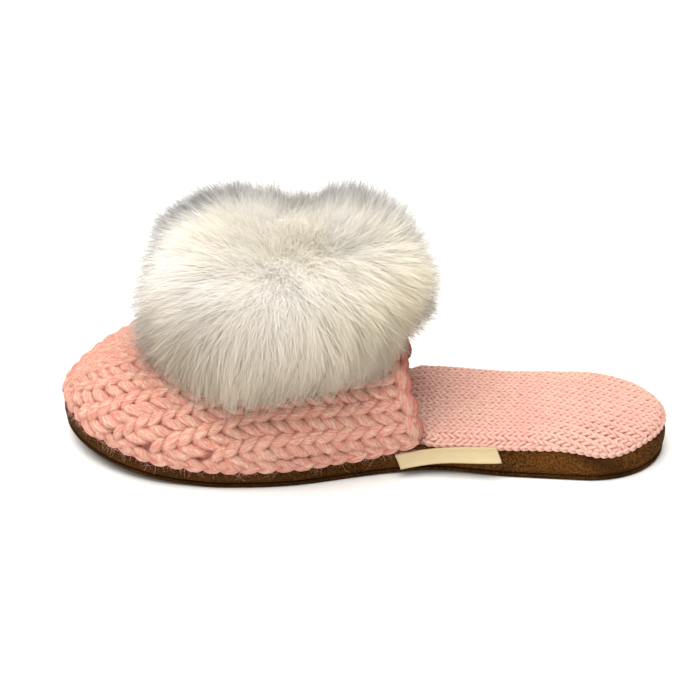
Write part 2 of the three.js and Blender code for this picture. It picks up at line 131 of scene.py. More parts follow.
# One stitch of stocking stitch, from the middle of its sinker over a leg to the top of its head:
# across in wales, along in courses towards the collar, depth and thickness as shares of the yarn.
STITCH = {
    "at": [0, 0.12, 0.24, 0.36, 0.5, 0.64, 0.78, 0.9, 1],
    "across": [0.5, 0.26, 0.09, 0.07, 0.245, 0.415, 0.43, 0.22, 0],
    "along": [-0.95, -1, -0.82, -0.5, 0, 0.48, 0.84, 1.02, 1.08],
    "depth": [1.85, 1.85, 1.75, 1.18, 0.8, 1.12, 1.65, 1.85, 1.85],
    "thick": [0.8, 0.8, 0.85, 1, 1.12, 1.02, 0.85, 0.8, 0.8],
}
# A link of the chain that edges the vamp, over one leg: turn round the edge as a share of a
# quarter, place in links, depth and thickness as shares of the yarn.
LINK = {
    "at": [0, 0.18, 0.38, 0.5, 0.64, 0.82, 1],
    "turn": [0.02, 0.04, 0.24, 0.5, 0.76, 0.98, 1.1],
    "along": [-0.75, -0.55, -0.22, 0, 0.24, 0.58, 0.85],
    "sink": [1, 0.55, 0.08, 0, 0.06, 0.4, 0.9],
    "thick": [0.6, 0.85, 1.03, 1.06, 1.02, 0.85, 0.6],
}
# The fur's tufts, as shares of the pompom's length, width and height.
TUFTS = [
    {"x": 0.0, "y": 0.03, "z": -0.1, "length": 0.5, "width": 0.5, "height": 0.38},
    {"x": 0.195, "y": -0.045, "z": 0.125, "length": 0.315, "width": 0.385, "height": 0.365},
    {"x": -0.21, "y": -0.05, "z": 0.11, "length": 0.29, "width": 0.38, "height": 0.33},
]
# Where the fur parts, and the crown that it falls away from, as directions from its middle.
PARTING = [(0.14, 0.08, 0.99), (-0.16, 0.34, 0.93), (-0.35, 0.4, 0.85), (-0.56, 0.28, 0.78),
           (-0.7, 0.05, 0.71)]
CROWN = (-0.1, 0.1, 1.0)
NO_VAMP = -1000.0  # height that stands for no vamp under a hair
FUR_BODY = (0.5, 0.49, 0.5)  # the fur's own half sizes, as shares of the pompom's
FUR_SHIFT = (-2.0, 2.0, -5.0)  # from the pompom's middle to the one that its hairs leave, in mm
HAIR_ROOT = 0.87  # where a hair starts, as a share of the tufts' reach
HAIR_STEPS = (0, 0.4, 0.75, 1)
HAIR_TAPER = (1, 0.95, 0.6)
SPARE_HAIRS = 1.66  # hairs tried for each one kept, since the vamp hides some
WISPS = 0.14  # share of the low hairs that are long wisps
SUNK_TIP, LOWEST_TIP = 7.0, 33.0  # a hair goes if its tip is this deep in the vamp, or this low
MOUTH_END, MOUTH_TOP = 82.0, 52.0  # the foot opening, where no tip hangs
FACING = (0.0, 0.87, 0.5)  # the fur's front: up and to the inner side, fixed in the frame
# The label's fold, top to bottom: how far out it stands, as a share of TAG_FLARE.
FOLD = {"at": [0, 0.25, 0.5, 0.78, 1], "out": [0, 0.04, 0.25, 0.6, 1]}

# Stage, in metres: each lamp's place, size and share of the key light's power.
LIGHTS = (("key_light", (0.27, 0.27, 1.17), 1.3, 1.0),
          ("fill_light", (0.45, 1.1, 0.5), 0.9, 0.06),
          ("back_light", (0.1, -0.9, 0.9), 0.8, 0.1))
LIGHT_TARGET = (0.1, 0.0, 0.03)
WARM = (1.0, 0.975, 0.93)  # colour of the light
FLOOR_HALF = 6000.0  # half side of the floor, in millimetres
# Camera, from the photo: turn round the slipper and height in degrees, distance in millimetres,
# pixels per millimetre, the point aimed at and the pixel where the photo shows it.
VIEW_TURN, VIEW_HEIGHT, VIEW_DISTANCE, VIEW_SCALE = 4.5, 30.0, 800.0, 2.32
VIEW_TARGET, VIEW_PIXEL, IMAGE_SIDE, SENSOR = (97.0, 0.0, 20.0), (363.0, 394.0), 700.0, 36.0


def column(table, name, at):
    """A table's column at many places: a cubic through its rows, flat at both ends."""
    x, y = np.array(table["at"], float), np.array(table[name], float)
    slope = np.zeros_like(y)
    slope[1:-1] = (y[2:] - y[:-2]) / (x[2:] - x[:-2])
    at = np.clip(np.asarray(at, float), x[0], x[-1])
    i = np.clip(np.searchsorted(x, at, side="right") - 1, 0, len(x) - 2)
    run = x[i + 1] - x[i]
    t = (at - x[i]) / run
    ease = t * t * (3 - 2 * t)
    lead, trail = t * (1 - t) ** 2 * slope[i] * run, t * t * (1 - t) * slope[i + 1] * run
    return y[i] + (y[i + 1] - y[i]) * ease + lead - trail


def smooth(v):
    """0 below 0, 1 above 1, and the cubic 3v^2 - 2v^3 between."""
    v = np.clip(v, 0, 1)
    return v * v * (3 - 2 * v)


def unit(v):
    """Vectors divided by their lengths."""
    return v / np.maximum(np.linalg.norm(v, axis=-1, keepdims=True), 1e-9)


def bell(distance, half):
    """1 at no distance, falling as e to the minus square of the distance in half widths."""
    return np.exp(-((distance / half) ** 2))


def end_round(distance, radius):
    """Width of a round end as a share: a quarter ellipse that is over after the radius."""
    return np.sqrt(1 - (1 - np.clip(distance / radius, 0, 1)) ** 2)


def half_width(x, side, inset=0.0):
    """Half width of the sole's plan at x on the inner (+1) or outer (-1) side, less an inset: the
    table's width times the quarter ellipses of heel and toe."""
    at = (x - HEEL_END) / LENGTH
    body = np.where(side > 0, column(PLAN, "inner", at), column(PLAN, "outer", at))
    heel = end_round(x - HEEL_END - inset, HEEL_ROUND - inset)
    toe = end_round(TOE_END - inset - x, TOE_ROUND - inset)
    return (body - inset) * heel * toe


def lift(x):
    """Height of the sole's underside: flat at heel and ball, a squared sine for the arch, a square
    behind the heel's spot and a power of the way from the ball to the toe."""
    at = (x - HEEL_END) / LENGTH
    back = np.clip((HEEL_FLAT[0] - at) / HEEL_FLAT[0], 0, 1)
    arch = np.clip((at - HEEL_FLAT[1]) / (BALL_FLAT[0] - HEEL_FLAT[1]), 0, 1)
    toe = np.clip((at - BALL_FLAT[1]) / (1 - BALL_FLAT[1]), 0, 1)
    spring = TOE_SPRING * toe**SPRING_POWER
    return HEEL_LIFT * back**2 + ARCH_LIFT * np.sin(np.pi * arch) ** 2 + spring


def side_value(name, x):
    """A column of the SIDE table at x."""
    return column(SIDE, name, (x - HEEL_END) / LENGTH)


def suede_top(x):
    """Height of the suede's top edge: the underside plus the wall."""
    return lift(x) + SOLE_WALL * side_value("wall", x)


def overhang(x):
    """How far the knit's foot stands out past the suede."""
    return OVERHANG * side_value("over", x)


def collar_foot(side):
    """Where the collar's edge meets the sole; the outer foot stands further forward."""
    return TOE_END - VAMP_LENGTH + (COLLAR_SKEW if side < 0 else 0)


def settle(end, inset):
    """Place of a tip that lies an inset from an end, where the inset depends on the place."""
    tip = end
    for _ in range(TIP_STEPS):
        tip = end + float(inset(np.array(tip)))
    return tip


def vamp_tip(depth):
    """Toe end of the vamp's layer at a depth under its outside."""
    return settle(TOE_END, lambda tip: overhang(tip) - depth)


def vamp_point(x, around, depth=0.0):
    """The vamp's surface at a depth: an upright edge, then a dome whose half width follows a power
    of the cosine and whose rise follows a power of the sine, from the inner foot (around 0) over
    the crest (0.5) to the outer foot (1)."""
    side = np.where(around <= 0.5, 1.0, -1.0)
    foot = np.where(around <= 0.5, around, 1 - around)
    up = np.clip(foot / BRAID_SHARE, 0, 1)
    turn = np.clip((foot - BRAID_SHARE) / (0.5 - BRAID_SHARE), 0, 1) * np.pi / 2
    reach = np.clip(np.cos(turn), 0, 1) ** (2 / SIDE_FULLNESS)
    crest = np.sin(turn) ** (2 / CROWN_FULLNESS)
    half = half_width(x, side, depth - overhang(x)) * reach
    rise = VAMP_RISE * column(INSTEP, "rise", (vamp_tip(depth) - x) / VAMP_LENGTH)
    z = suede_top(x) + KNIT_GAP + (BRAID_HEIGHT - depth) * up + rise * crest
    return np.stack([x + 0 * half, side * half, z], -1)


def collar_x(around):
    """Where the collar's edge stands: its feet are skewed, and it leans forward at the top by a
    power of the sine of the way round."""
    lean = COLLAR_LEAN * np.clip(np.sin(np.pi * around), 0, 1) ** LEAN_POWER
    return collar_foot(1) + (collar_foot(-1) - collar_foot(1)) * smooth(around) + lean


def vamp_top(x, y):
    """Height of the vamp's outside over a point of the plan, by the dome's two powers, or far
    below where it has none."""
    half = half_width(x, np.sign(y), -overhang(x))
    rise = VAMP_RISE * column(INSTEP, "rise", (TOE_END - x) / VAMP_LENGTH)
    share = np.clip(np.abs(y) / np.maximum(half, 1), 0, 1)
    dome = (1 - share**SIDE_FULLNESS) ** (1 / CROWN_FULLNESS)
    z = suede_top(x) + KNIT_GAP + BRAID_HEIGHT + rise * dome
    inside = (np.abs(y) < half) & (x > collar_foot(1) + COLLAR_LEAN) & (x < TOE_END)
    return np.where(inside, z, NO_VAMP)


class Cloth:
    """A surface by place along x and by distance round it from its crest, with its normals.

    Each section is measured along its own run, so a grid of x by distance holds its points, and
    what lies between the grid's places is mixed straight."""

    def __init__(self, xs, section, steps=240):
        """xs are the sections' places, and section gives the points at a place and way round."""
        self.xs = xs
        around = np.linspace(0, 1, 2 * steps + 1)
        points = np.stack([section(np.full_like(around, x), around) for x in xs])
        self.reach = np.zeros((2, len(xs)))
        self.cs = np.arange(-CLOTH_HALF, CLOTH_HALF + 0.1, 1.0)
        self.grid = np.zeros((len(xs), len(self.cs), 3))
        for i, row in enumerate(points):
            run = np.concatenate([[0], np.cumsum(np.linalg.norm(np.diff(row, axis=0), axis=1))])
            far = run - run[steps]
            self.reach[:, i] = -far[0], far[-1]
            for k in range(3):
                self.grid[i, :, k] = np.interp(-self.cs, far, row[:, k])
        along = np.gradient(self.grid, axis=0)
        across = np.gradient(self.grid, axis=1)
        self.normal = unit(np.cross(along, across))

    def _mix(self, table, x, c):
        """A table's values between its grid's places, by the four nearest."""
        i = np.interp(x, self.xs, np.arange(len(self.xs)))
        j = np.clip((c - self.cs[0]), 0, len(self.cs) - 1.001)
        i0, j0 = np.minimum(i.astype(int), len(self.xs) - 2), j.astype(int)
        a, b = (i - i0)[..., None], (j - j0)[..., None]
        low = table[i0, j0] * (1 - b) + table[i0, j0 + 1] * b
        high = table[i0 + 1, j0] * (1 - b) + table[i0 + 1, j0 + 1] * b
        return low * (1 - a) + high * a

    def at(self, x, c, depth):
        """Points at x and c, that far under the surface, and the normals there."""
        normal = unit(self._mix(self.normal, x, c))
        return self._mix(self.grid, x, c) - normal * depth[..., None], normal

    def room(self, x, side):
        """Distance from the crest to the foot at x on a side."""
        return np.interp(x, self.xs, self.reach[0 if side > 0 else 1])


def build(name, points, quads, material, tris=None, ngons=None, uv=None, marks=None, soft=True):
    """A mesh object from millimetre points and arrays of quads, triangles and larger faces."""
    groups = [g for g in (quads, tris, ngons) if g is not None and len(g)]
    loops = np.concatenate([g.reshape(-1) for g in groups]).astype(np.int32)
    sizes = np.concatenate([np.full(len(g), g.shape[1]) for g in groups]).astype(np.int32)
    starts = np.concatenate([[0], np.cumsum(sizes)[:-1]]).astype(np.int32)
    mesh = bpy.data.meshes.new(name)
    mesh.vertices.add(len(points))
    mesh.vertices.foreach_set("co", (np.asarray(points) * MM).astype(np.float32).reshape(-1))
    mesh.loops.add(len(loops))
    mesh.loops.foreach_set("vertex_index", loops)
    mesh.polygons.add(len(sizes))
    mesh.polygons.foreach_set("loop_start", starts)
    mesh.polygons.foreach_set("use_smooth", np.full(len(sizes), soft))
    mesh.update(calc_edges=True)
    if uv is not None:
        layer = mesh.uv_layers.new(name="cloth")
        layer.data.foreach_set("uv", uv.astype(np.float32).reshape(-1))
    for key, values in (marks or {}).items():
        attribute = mesh.attributes.new(key, "FLOAT", "POINT")
        attribute.data.foreach_set("value", np.asarray(values, np.float32))
    mesh.validate()
    mesh.materials.append(material)
    piece = bpy.data.objects.new(name, mesh)
    bpy.context.scene.collection.objects.link(piece)
    return piece


def strands(name, paths, normals, widths, heights, sides, material, tones, sunk, caps=True):
    """Yarns swept along paths: at each point an ellipse, its half width across the path times the
    cosine and its half height off the cloth times the sine of the way round.

    paths and normals are strands x points x 3; widths, heights and sunk are strands x points.
    sunk is the depth of the yarn's middle, in its radii. The cloth map holds millimetres along
    the yarn and the share round it; the mark sunk is the depth of the yarn's skin."""
    count, steps = paths.shape[:2]
    tangent = unit(np.gradient(paths, axis=1))
    across = unit(np.cross(tangent, normals))
    up = np.cross(across, tangent)
    turn = np.arange(sides) / sides * 2 * np.pi
    ring = (
        paths[:, :, None]
        + across[:, :, None] * (widths[:, :, None] * np.cos(turn))[..., None]
        + up[:, :, None] * (heights[:, :, None] * np.sin(turn))[..., None]
    )
    step = np.linalg.norm(np.diff(paths, axis=1), axis=2)
    run = np.concatenate([np.zeros((count, 1)), np.cumsum(step, axis=1)], axis=1)
    base = (np.arange(count * steps) * sides).reshape(count, steps)
    k = np.arange(sides)
    a = base[:, :-1, None] + k
    b = base[:, 1:, None] + k
    c = base[:, 1:, None] + (k + 1) % sides
    d = base[:, :-1, None] + (k + 1) % sides
    quads = np.stack([a, b, c, d], -1).reshape(-1, 4)
    u0 = np.broadcast_to(run[:, :-1, None], a.shape)
    u1 = np.broadcast_to(run[:, 1:, None], a.shape)
    v0, v1 = np.broadcast_to(k / sides, a.shape), np.broadcast_to((k + 1) / sides, a.shape)
    uv = np.stack([np.stack(p, -1) for p in ((u0, v0), (u1, v0), (u1, v1), (u0, v1))], -2)
    uv = uv.reshape(-1, 2)
    ends = None
    if caps:
        ends = np.concatenate([base[:, 0, None] + k, base[:, -1, None] + k[::-1]])
        uv = np.concatenate([uv, np.zeros((ends.size, 2))])
    depth = np.broadcast_to(sunk, (count, steps))[:, :, None] - np.sin(turn)
    marks = {"tone": np.repeat(tones, steps * sides), "sunk": depth.reshape(-1)}
    return build(name, ring.reshape(-1, 3), quads, material, ngons=ends, uv=uv, marks=marks)


def sheet_mesh(name, grid, material, closed=(False, False), soft=True):
    """A surface from a grid of points, rows x columns x 3, joined round where closed says so."""
    rows, cols = grid.shape[:2]
    index = np.arange(rows * cols).reshape(rows, cols)
    i = np.concatenate([index, index[:1]]) if closed[0] else index
    i = np.concatenate([i, i[:, :1]], axis=1) if closed[1] else i
    quads = np.stack([i[:-1, :-1], i[1:, :-1], i[1:, 1:], i[:-1, 1:]], -1).reshape(-1, 4)
    return build(name, grid.reshape(-1, 3), quads, material, soft=soft)


def round_steps(count):
    """Shares from 0 to 1, closer together at both ends: half of one less the cosine."""
    return (1 - np.cos(np.linspace(0, np.pi, count + 1))) / 2


def outline(inset):
    """The plan's edge at an inset, as a closed loop: each side is the half width at places that
    lie closer at the ends, the outer side from heel to toe, then the inner back."""
    heel, tip = HEEL_END + inset, TOE_END - inset
    x = heel + (tip - heel) * round_steps(SOLE_STEPS)
    outer = np.stack([x, -half_width(x, -1, inset)], -1)
    inner = np.stack([x, half_width(x, 1, inset)], -1)
    outer[[0, -1], 1] = inner[[0, -1], 1] = 0
    return np.concatenate([outer[:-1], inner[:0:-1]])


def slab_mesh(name, levels, material):
    """A slab from closed loops of equal count, bottom to top; each end loop is drawn in to the
    long axis in two steps, which closes it."""
    def drawn_in(loop):
        return [loop * [1, share, 1] for share in (0.5, 0.0)]

    grid = np.stack([*drawn_in(levels[0])[::-1], *levels, *drawn_in(levels[-1])])
    return sheet_mesh(name, grid, material, (False, True))


class Value:
    """A node's output that takes part in arithmetic; each operation adds a Math node."""

    def __init__(self, paint, socket):
        self.paint, self.socket = paint, socket

    def _math(self, operation, first, second):
        node = self.paint.node("ShaderNodeMath", {"operation": operation}, {0: first, 1: second})
        return Value(self.paint, node.outputs[0])

    def __add__(self, other):
        return self._math("ADD", self, other)

    def __sub__(self, other):
        return self._math("SUBTRACT", self, other)

    def __rsub__(self, other):
        return self._math("SUBTRACT", other, self)

    def __mul__(self, other):
        return self._math("MULTIPLY", self, other)

    def __pow__(self, other):
        return self._math("POWER", self, other)

    __radd__, __rmul__ = __add__, __mul__


class Paint:
    """A material and its node tree."""

    def __init__(self, name):
        self.material = bpy.data.materials.new(name)
        self.material.use_nodes = True
        self.tree = self.material.node_tree
        self.tree.nodes.clear()

    def node(self, kind, settings=None, inputs=None):
        """A node of a type, with its settings, then the values or links of its sockets."""
        node = self.tree.nodes.new(kind)
        for key, value in (settings or {}).items():
            if key == "stops":
                ramp = node.color_ramp
                for place, colour in value[1:-1]:
                    ramp.elements.new(place).color = colour
                for element, (place, colour) in ((ramp.elements[0], value[0]),
                                                 (ramp.elements[-1], value[-1])):
                    element.position, element.color = place, colour
            else:
                setattr(node, key, value)
        for key, value in (inputs or {}).items():
            if isinstance(value, Value):
                self.tree.links.new(value.socket, node.inputs[key])
            else:
                node.inputs[key].default_value = value
        return node

    def value(self, kind, output, settings=None, inputs=None):
        """One output of a new node."""
        return Value(self, self.node(kind, settings, inputs).outputs[output])

    def sin(self, v):
        """Sine of an angle in radians."""
        return self.value("ShaderNodeMath", 0, {"operation": "SINE"}, {0: v})

    def cos(self, v):
        """Cosine of an angle in radians."""
        return self.value("ShaderNodeMath", 0, {"operation": "COSINE"}, {0: v})

    def clamp(self, v):
        """The value held between 0 and 1."""
        return self.value("ShaderNodeClamp", 0, None, {0: v})

    def ramp(self, v, low, high):
        """0 below low, 1 above high, straight between."""
        return self.value("ShaderNodeMapRange", 0, {"clamp": True}, {0: v, 1: low, 2: high})

    def position(self):
        """The point in the slipper's frame, in millimetres."""
        spot = self.value("ShaderNodeTexCoord", "Object")
        scaled = self.node("ShaderNodeVectorMath", {"operation": "SCALE"}, {0: spot, 3: PER_METRE})
        return Value(self, scaled.outputs[0])

    def split(self, vector):
        """The three parts of a vector."""
        node = self.node("ShaderNodeSeparateXYZ", None, {0: vector})
        return [Value(self, socket) for socket in node.outputs]

    def join(self, x, y, z):
        """A vector of three values."""
        return self.value("ShaderNodeCombineXYZ", 0, None, {0: x, 1: y, 2: z})

    def noise(self, vector, scale, detail=2.0, rough=0.5):
        """Cloudy noise from 0 to 1, its scale in clouds to a millimetre."""
        return self.value("ShaderNodeTexNoise", 0, None,
                          {"Vector": vector, "Scale": scale, "Detail": detail, "Roughness": rough})

    def mark(self, name):
        """A number that the mesh holds at each point."""
        return self.value("ShaderNodeAttribute", "Fac", {"attribute_name": name})

    def mix(self, factor, first, second):
        """The first colour at factor 0, the second at 1."""
        node = self.node("ShaderNodeMix", {"data_type": "RGBA"},
                         {0: factor, 6: first, 7: second})
        return Value(self, node.outputs[2])

    def bump(self, height, distance):
        """A normal from a height of 0 to 1, as deep as the distance in millimetres."""
        return self.value("ShaderNodeBump", 0, None,
                          {"Height": height, "Distance": distance * MM, "Strength": 1.0})

    def finish(self, colour, rough, normal, sheen=0.0, through=0.0, tint=(1, 1, 1, 1),
               gloss=0.25):
        """The surface: a matt shader with sheen, let through by thin fibres."""
        body = self.node("ShaderNodeBsdfPrincipled", None, {
            "Base Color": colour, "Roughness": rough, "Sheen Weight": sheen,
            "Sheen Roughness": 0.5, "Sheen Tint": tint, "Specular IOR Level": gloss})
        if normal is not None:
            self.tree.links.new(normal.socket, body.inputs["Normal"])
        out = self.node("ShaderNodeOutputMaterial")
        surface = body.outputs[0]
        if through:
            thin = self.node("ShaderNodeBsdfTranslucent", None, {"Color": colour})
            both = self.node("ShaderNodeMixShader", None, {0: through})
            self.tree.links.new(surface, both.inputs[1])
            self.tree.links.new(thin.outputs[0], both.inputs[2])
            surface = both.outputs[0]
        self.tree.links.new(surface, out.inputs[0])
        return self.material


def rgba(colour):
    """A colour with full alpha."""
    return (*colour, 1.0)


def shade(colour, share):
    """A colour times one share, or times a share for each of red, green and blue."""
    return rgba(np.array(colour) * share)


def yarn_paint(name, colour, turn_length, coarse, relief, fibre_tone_and_highlight):
    """Twisted wool: streaked fibres that wind once round the yarn in a turn length, partly their own
    tone and partly painted highlight, painted shade in the hollows between yarns, and a faint cloud
    of worn and fresh wool over all."""
    paint = Paint(name)
    u, v, _ = paint.split(paint.value("ShaderNodeUVMap", 0, {"uv_map": "cloth"}))
    tone = paint.mark("tone")
    angle = v * (2 * np.pi) + u * (2 * np.pi / turn_length) + tone * 40.0
    ring_a, ring_b = paint.cos(angle), paint.sin(angle)
    fibre_at = paint.join(u * (0.13 * coarse) + tone * 90.0, ring_a * 1.25, ring_b * 1.25)
    fibre = paint.noise(fibre_at, 2.4, 3.0, 0.6)
    fine_at = paint.join(u * (0.3 * coarse) + tone * 55.0, ring_a * 2.6, ring_b * 2.6)
    fine = paint.noise(fine_at, 3.0, 3.0, 0.65)
    height = fibre * 0.55 + fine * 0.45
    # The fibres run between a darker tone and a paler one: partly the fibres' own tone, partly
    # painted highlight along them.
    low = shade(colour, (0.94, 0.8, 0.8))
    high = shade(colour, (1.12, fibre_tone_and_highlight, fibre_tone_and_highlight * 0.93))
    high = rgba(np.minimum(high[:3], (0.98, 0.9, 0.85)))
    # Painted shade in the hollows between yarns, laid on by the mark sunk.
    groove_shade = shade(colour, (0.72, 0.42, 0.42))
    base = paint.mix(paint.ramp(height, 0.42, 0.62), low, high)
    base = paint.mix(paint.ramp(paint.mark("sunk"), 0.1, 1.45) * 0.9, base, groove_shade)
    cloud = paint.ramp(paint.noise(paint.position(), 0.05, 3.0, 0.6), 0.3, 0.7)
    worn = paint.mix(cloud, (1.0, 0.92, 0.91, 1), (1.0, 1.04, 1.03, 1))
    tinted = paint.value("ShaderNodeMix", 2, {"data_type": "RGBA", "blend_type": "MULTIPLY"},
                         {0: 1.0, 6: base, 7: worn})
    return paint.finish(tinted, 0.9, paint.bump(height, relief), sheen=0.15,
                        tint=shade(colour, 1.1))


def suede_paint(name, colour):
    """Brushed suede: short nap as fine grain with brushed patches, and painted shade: darker towards
    the toe, where it is gathered beside the heel, and low down, where it is also worn a little shiny."""
    paint = Paint(name)
    spot = paint.position()
    x, y, z = paint.split(spot)
    nap = paint.noise(spot, 1.3, 3.0, 0.75)
    tuft = paint.noise(spot, 0.7, 3.0, 0.6)
    patch = paint.noise(paint.join(x * 0.6, y * 0.6, z * 1.6), 0.07, 3.0, 0.55)
    grain = paint.ramp(nap, 0.46, 0.58) * 0.75 + paint.ramp(tuft, 0.42, 0.62) * 0.2
    tone = paint.clamp(grain + paint.ramp(patch, 0.4, 0.6) * 0.25)
    base = paint.mix(tone, shade(colour, 0.25), shade(colour, 3.2))
    # Painted shade: darker towards the toe.
    base = paint.mix(paint.ramp(x, 30.0, 130.0) * 0.5, base, shade(colour, 0.6))
    # Painted shade in the crease where the suede is gathered beside the heel, on the inner side.
    gather = paint.ramp((x - z * 0.9 + 13.0) ** 2, 70.0, 4.0) * paint.ramp(y, 10.0, 25.0)
    base = paint.mix(gather * 0.6, base, shade(colour, 0.5))
    # Painted shade low down: the colour is darker near the foot of the side; the same mask lowers the
    # roughness, where the suede is worn a little shiny.
    worn = paint.ramp(z + tuft * 3.0, 5.0, 1.2)
    shaded_low = paint.mix(worn * 0.55, base, shade(colour, 0.4))
    height = nap * 0.7 + tuft * 0.5
    rough = 0.97 - worn * 0.15
    return paint.finish(shaded_low, rough, paint.bump(height, 0.7), gloss=0.06)


def fur_paint(name, colour):
    """Long white fur, with painted shade as on one soft body: a warm cream shade by the collar,
    darker and creamier low down, a little darker at the roots, tips darkened round the far edge that
    the mesh marks, shadowed where it parts."""
    paint = Paint(name)
    along, tone = paint.mark("along"), paint.mark("tone")
    spot = paint.position()
    x, _, z = paint.split(spot)
    patch = paint.ramp(paint.noise(spot, 0.03, 2.0, 0.5), 0.4, 0.65)
    body = paint.mix(patch, rgba(colour), shade(colour, (1, 0.985, 0.94)))
    # Painted warm shade towards the collar, lower down.
    warm_shade = shade(colour, (0.9, 0.87, 0.72))
    body = paint.mix(paint.ramp(x, 122.0, 82.0) * paint.ramp(z, 100.0, 62.0) * 0.9, body, warm_shade)
    # Painted shade: the fur darker and creamier low down.
    low = shade(colour, (0.7, 0.645, 0.555))
    body = paint.mix(paint.ramp(z, 86.0, 50.0), body, low)
    # Painted shade: a little darker at the roots, deep in the fur.
    root = paint.mix(paint.ramp(along, 0.0, 0.5), shade(colour, 0.93), body)
    # Painted shade: tips darkened to a neutral tone in the band round the far edge that the mesh
    # marks.
    grey = paint.mark("grey") * paint.ramp(along, 0.25, 0.9)
    tip = paint.mix(grey * 0.9, root, shade((0.92, 0.92, 0.93), 0.36))
    tip = paint.mix(paint.mark("parting"), tip, shade((0.62, 0.6, 0.5), 0.75))
    final = paint.mix(paint.ramp(tone, 0.6, 1.0) * 0.05, tip, shade(colour, 0.75))
    return paint.finish(final, 0.85, None, through=0.5)


def tape_paint(name, colour):
    """Plain woven tape: the product of two sines for its crossing threads, slubs along them, and
    painted shade along the sewn top of its inner layer."""
    paint = Paint(name)
    spot = paint.value("ShaderNodeUVMap", 0, {"uv_map": "cloth"})
    u, v, _ = paint.split(spot)
    warp, weft = paint.sin(u * 9.0), paint.sin(v * 11.0)
    weave = warp * weft * 0.5 + 0.5
    slub = paint.noise(paint.join(u * 0.25, v * 2.0, 0.0), 2.0, 3.0, 0.6)
    tone = paint.ramp(weave * 0.45 + slub * 0.55, 0.3, 0.7)
    threads = paint.mix(tone, shade(colour, 0.7), shade(colour, 1.1))
    # Painted shade: darker along the sewn top of the inner layer, where the girth begins.
    base = paint.mix(paint.ramp(v, 1.1, 0.2) * 0.5, threads, shade(colour, 0.6))
    return paint.finish(base, 0.8, paint.bump(weave * 0.6 + slub * 0.4, 0.18), sheen=0.1)


def own(piece, slot, *nodes):
    """The piece rides on the one body and stands for nodes. The slot is not used."""
    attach(piece, "root")
    if nodes:
        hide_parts(*nodes)
    return piece


def sole(paint, settings):
    """Suede side and bottom: loops of the plan stacked up a wall, each drawn in by a rounded
    profile. The side is waved by sines along the sole and dented by bells beside the heel, both
    by the sine of the way up."""
    levels = []
    for up in np.linspace(0, 1, 15):
        loop = outline(float(column(SUEDE_SIDE, "inset", up)) * SUEDE_ROUND)
        x, y = loop[:, 0], loop[:, 1]
        side, middle = np.sign(y), np.sin(np.pi * up)
        bottom = lift(x) + OUTSOLE_THICK + SOLE_GAP
        sag = heel_dip(x, y) * smooth((up - 0.3) / 0.7)
        wave = sum(high * np.sin(x * turn + shift * side) for turn, shift, high in WAVES)
        dent = sum(deep * bell(x - at, half) * np.where(y > 0, 1, outer)
                   for at, half, deep, outer in PUCKERS)
        pull = (wave - dent * middle) * middle * settings.pucker + DIP_OUT * sag
        z = bottom + (suede_top(x) - bottom) * up - DIP_DEPTH * sag
        levels.append(np.stack([x, y + side * pull, z], -1))
    own(slab_mesh("sole_suede_side", levels, paint["side"]), "suede_side", "midsole")
    levels = []
    for up in np.linspace(0, 1, 6):
        loop = outline(float(column(OUTSOLE_SIDE, "inset", up)) * SUEDE_ROUND)
        z = lift(loop[:, 0]) + OUTSOLE_THICK * up
        levels.append(np.stack([loop[:, 0], loop[:, 1], z], -1))
    own(slab_mesh("sole_suede_bottom", levels, paint["bottom"]), "suede_outsole", "outsole")


def heel_dip(x, y):
    """Share of the sag in the pad's inner edge beside the heel, where the suede is gathered: a
    bell along the sole, times a smooth rise towards the edge."""
    return bell(x - DIP_PLACE, DIP_REACH) * smooth((y - 8) / 18)


def pad_edge_inset(x, y):
    """How far the pad's edge lies inside the plan: a little behind the vamp, and inside the knit
    further on, with a smooth step between."""
    start = np.where(y > 0, collar_foot(1), collar_foot(-1)) - PAD_GAP - PAD_BLEND
    inside = KNIT_WALL - overhang(x) + PAD_GAP
    return PAD_INSET + (inside - PAD_INSET) * smooth((x - start) / PAD_BLEND)


def pad_radius(x):
    """Round of the pad's shoulder at x."""
    return PAD_THICK * side_value("pad", x) * SHOULDER


def pad_border(count=420):
    """Where the pad's flat top ends and its rounded shoulder begins, as a closed loop, and its
    outward directions: the half width less the edge's inset and the shoulder's radius."""
    sides = []
    for side in (-1.0, 1.0):
        def inset(x):
            return pad_edge_inset(x, side) + pad_radius(x)

        tip, heel = settle(TOE_END, lambda x: -inset(x)), settle(HEEL_END, inset)
        x = heel + (tip - heel) * round_steps(count)
        y = side * half_width(x, side, inset(x))
        y[[0, -1]] = 0
        sides.append(np.stack([x, y], -1))
    loop = np.concatenate([sides[0][:-1], sides[1][:0:-1]])
    way = unit(np.roll(loop, -1, axis=0) - np.roll(loop, 1, axis=0))
    return loop, np.stack([way[:, 1], -way[:, 0]], -1)


def pad_height(x, y):
    """Top of the pad: its thickness, with a crown by a power of one less the squared share of
    the half width, and lower where the pad is narrow."""
    half = np.maximum(half_width(x, np.sign(y), pad_edge_inset(x, y)), 1.0)
    share = np.clip(2 * half / HEEL_WIDTH, 0, 1)
    crown = np.clip(1 - (y / half) ** 2, 0, 1) ** PAD_FULLNESS
    thick = PAD_THICK * side_value("pad", x)
    return suede_top(x) + SOLE_GAP + thick * (PAD_EDGE + (1 - PAD_EDGE) * share * crown)


def pad_sag(x, y):
    """How far the pad hangs down beside the heel, growing from its middle to its edge."""
    return heel_dip(x, y) * smooth((np.abs(y) - 8) / 22)


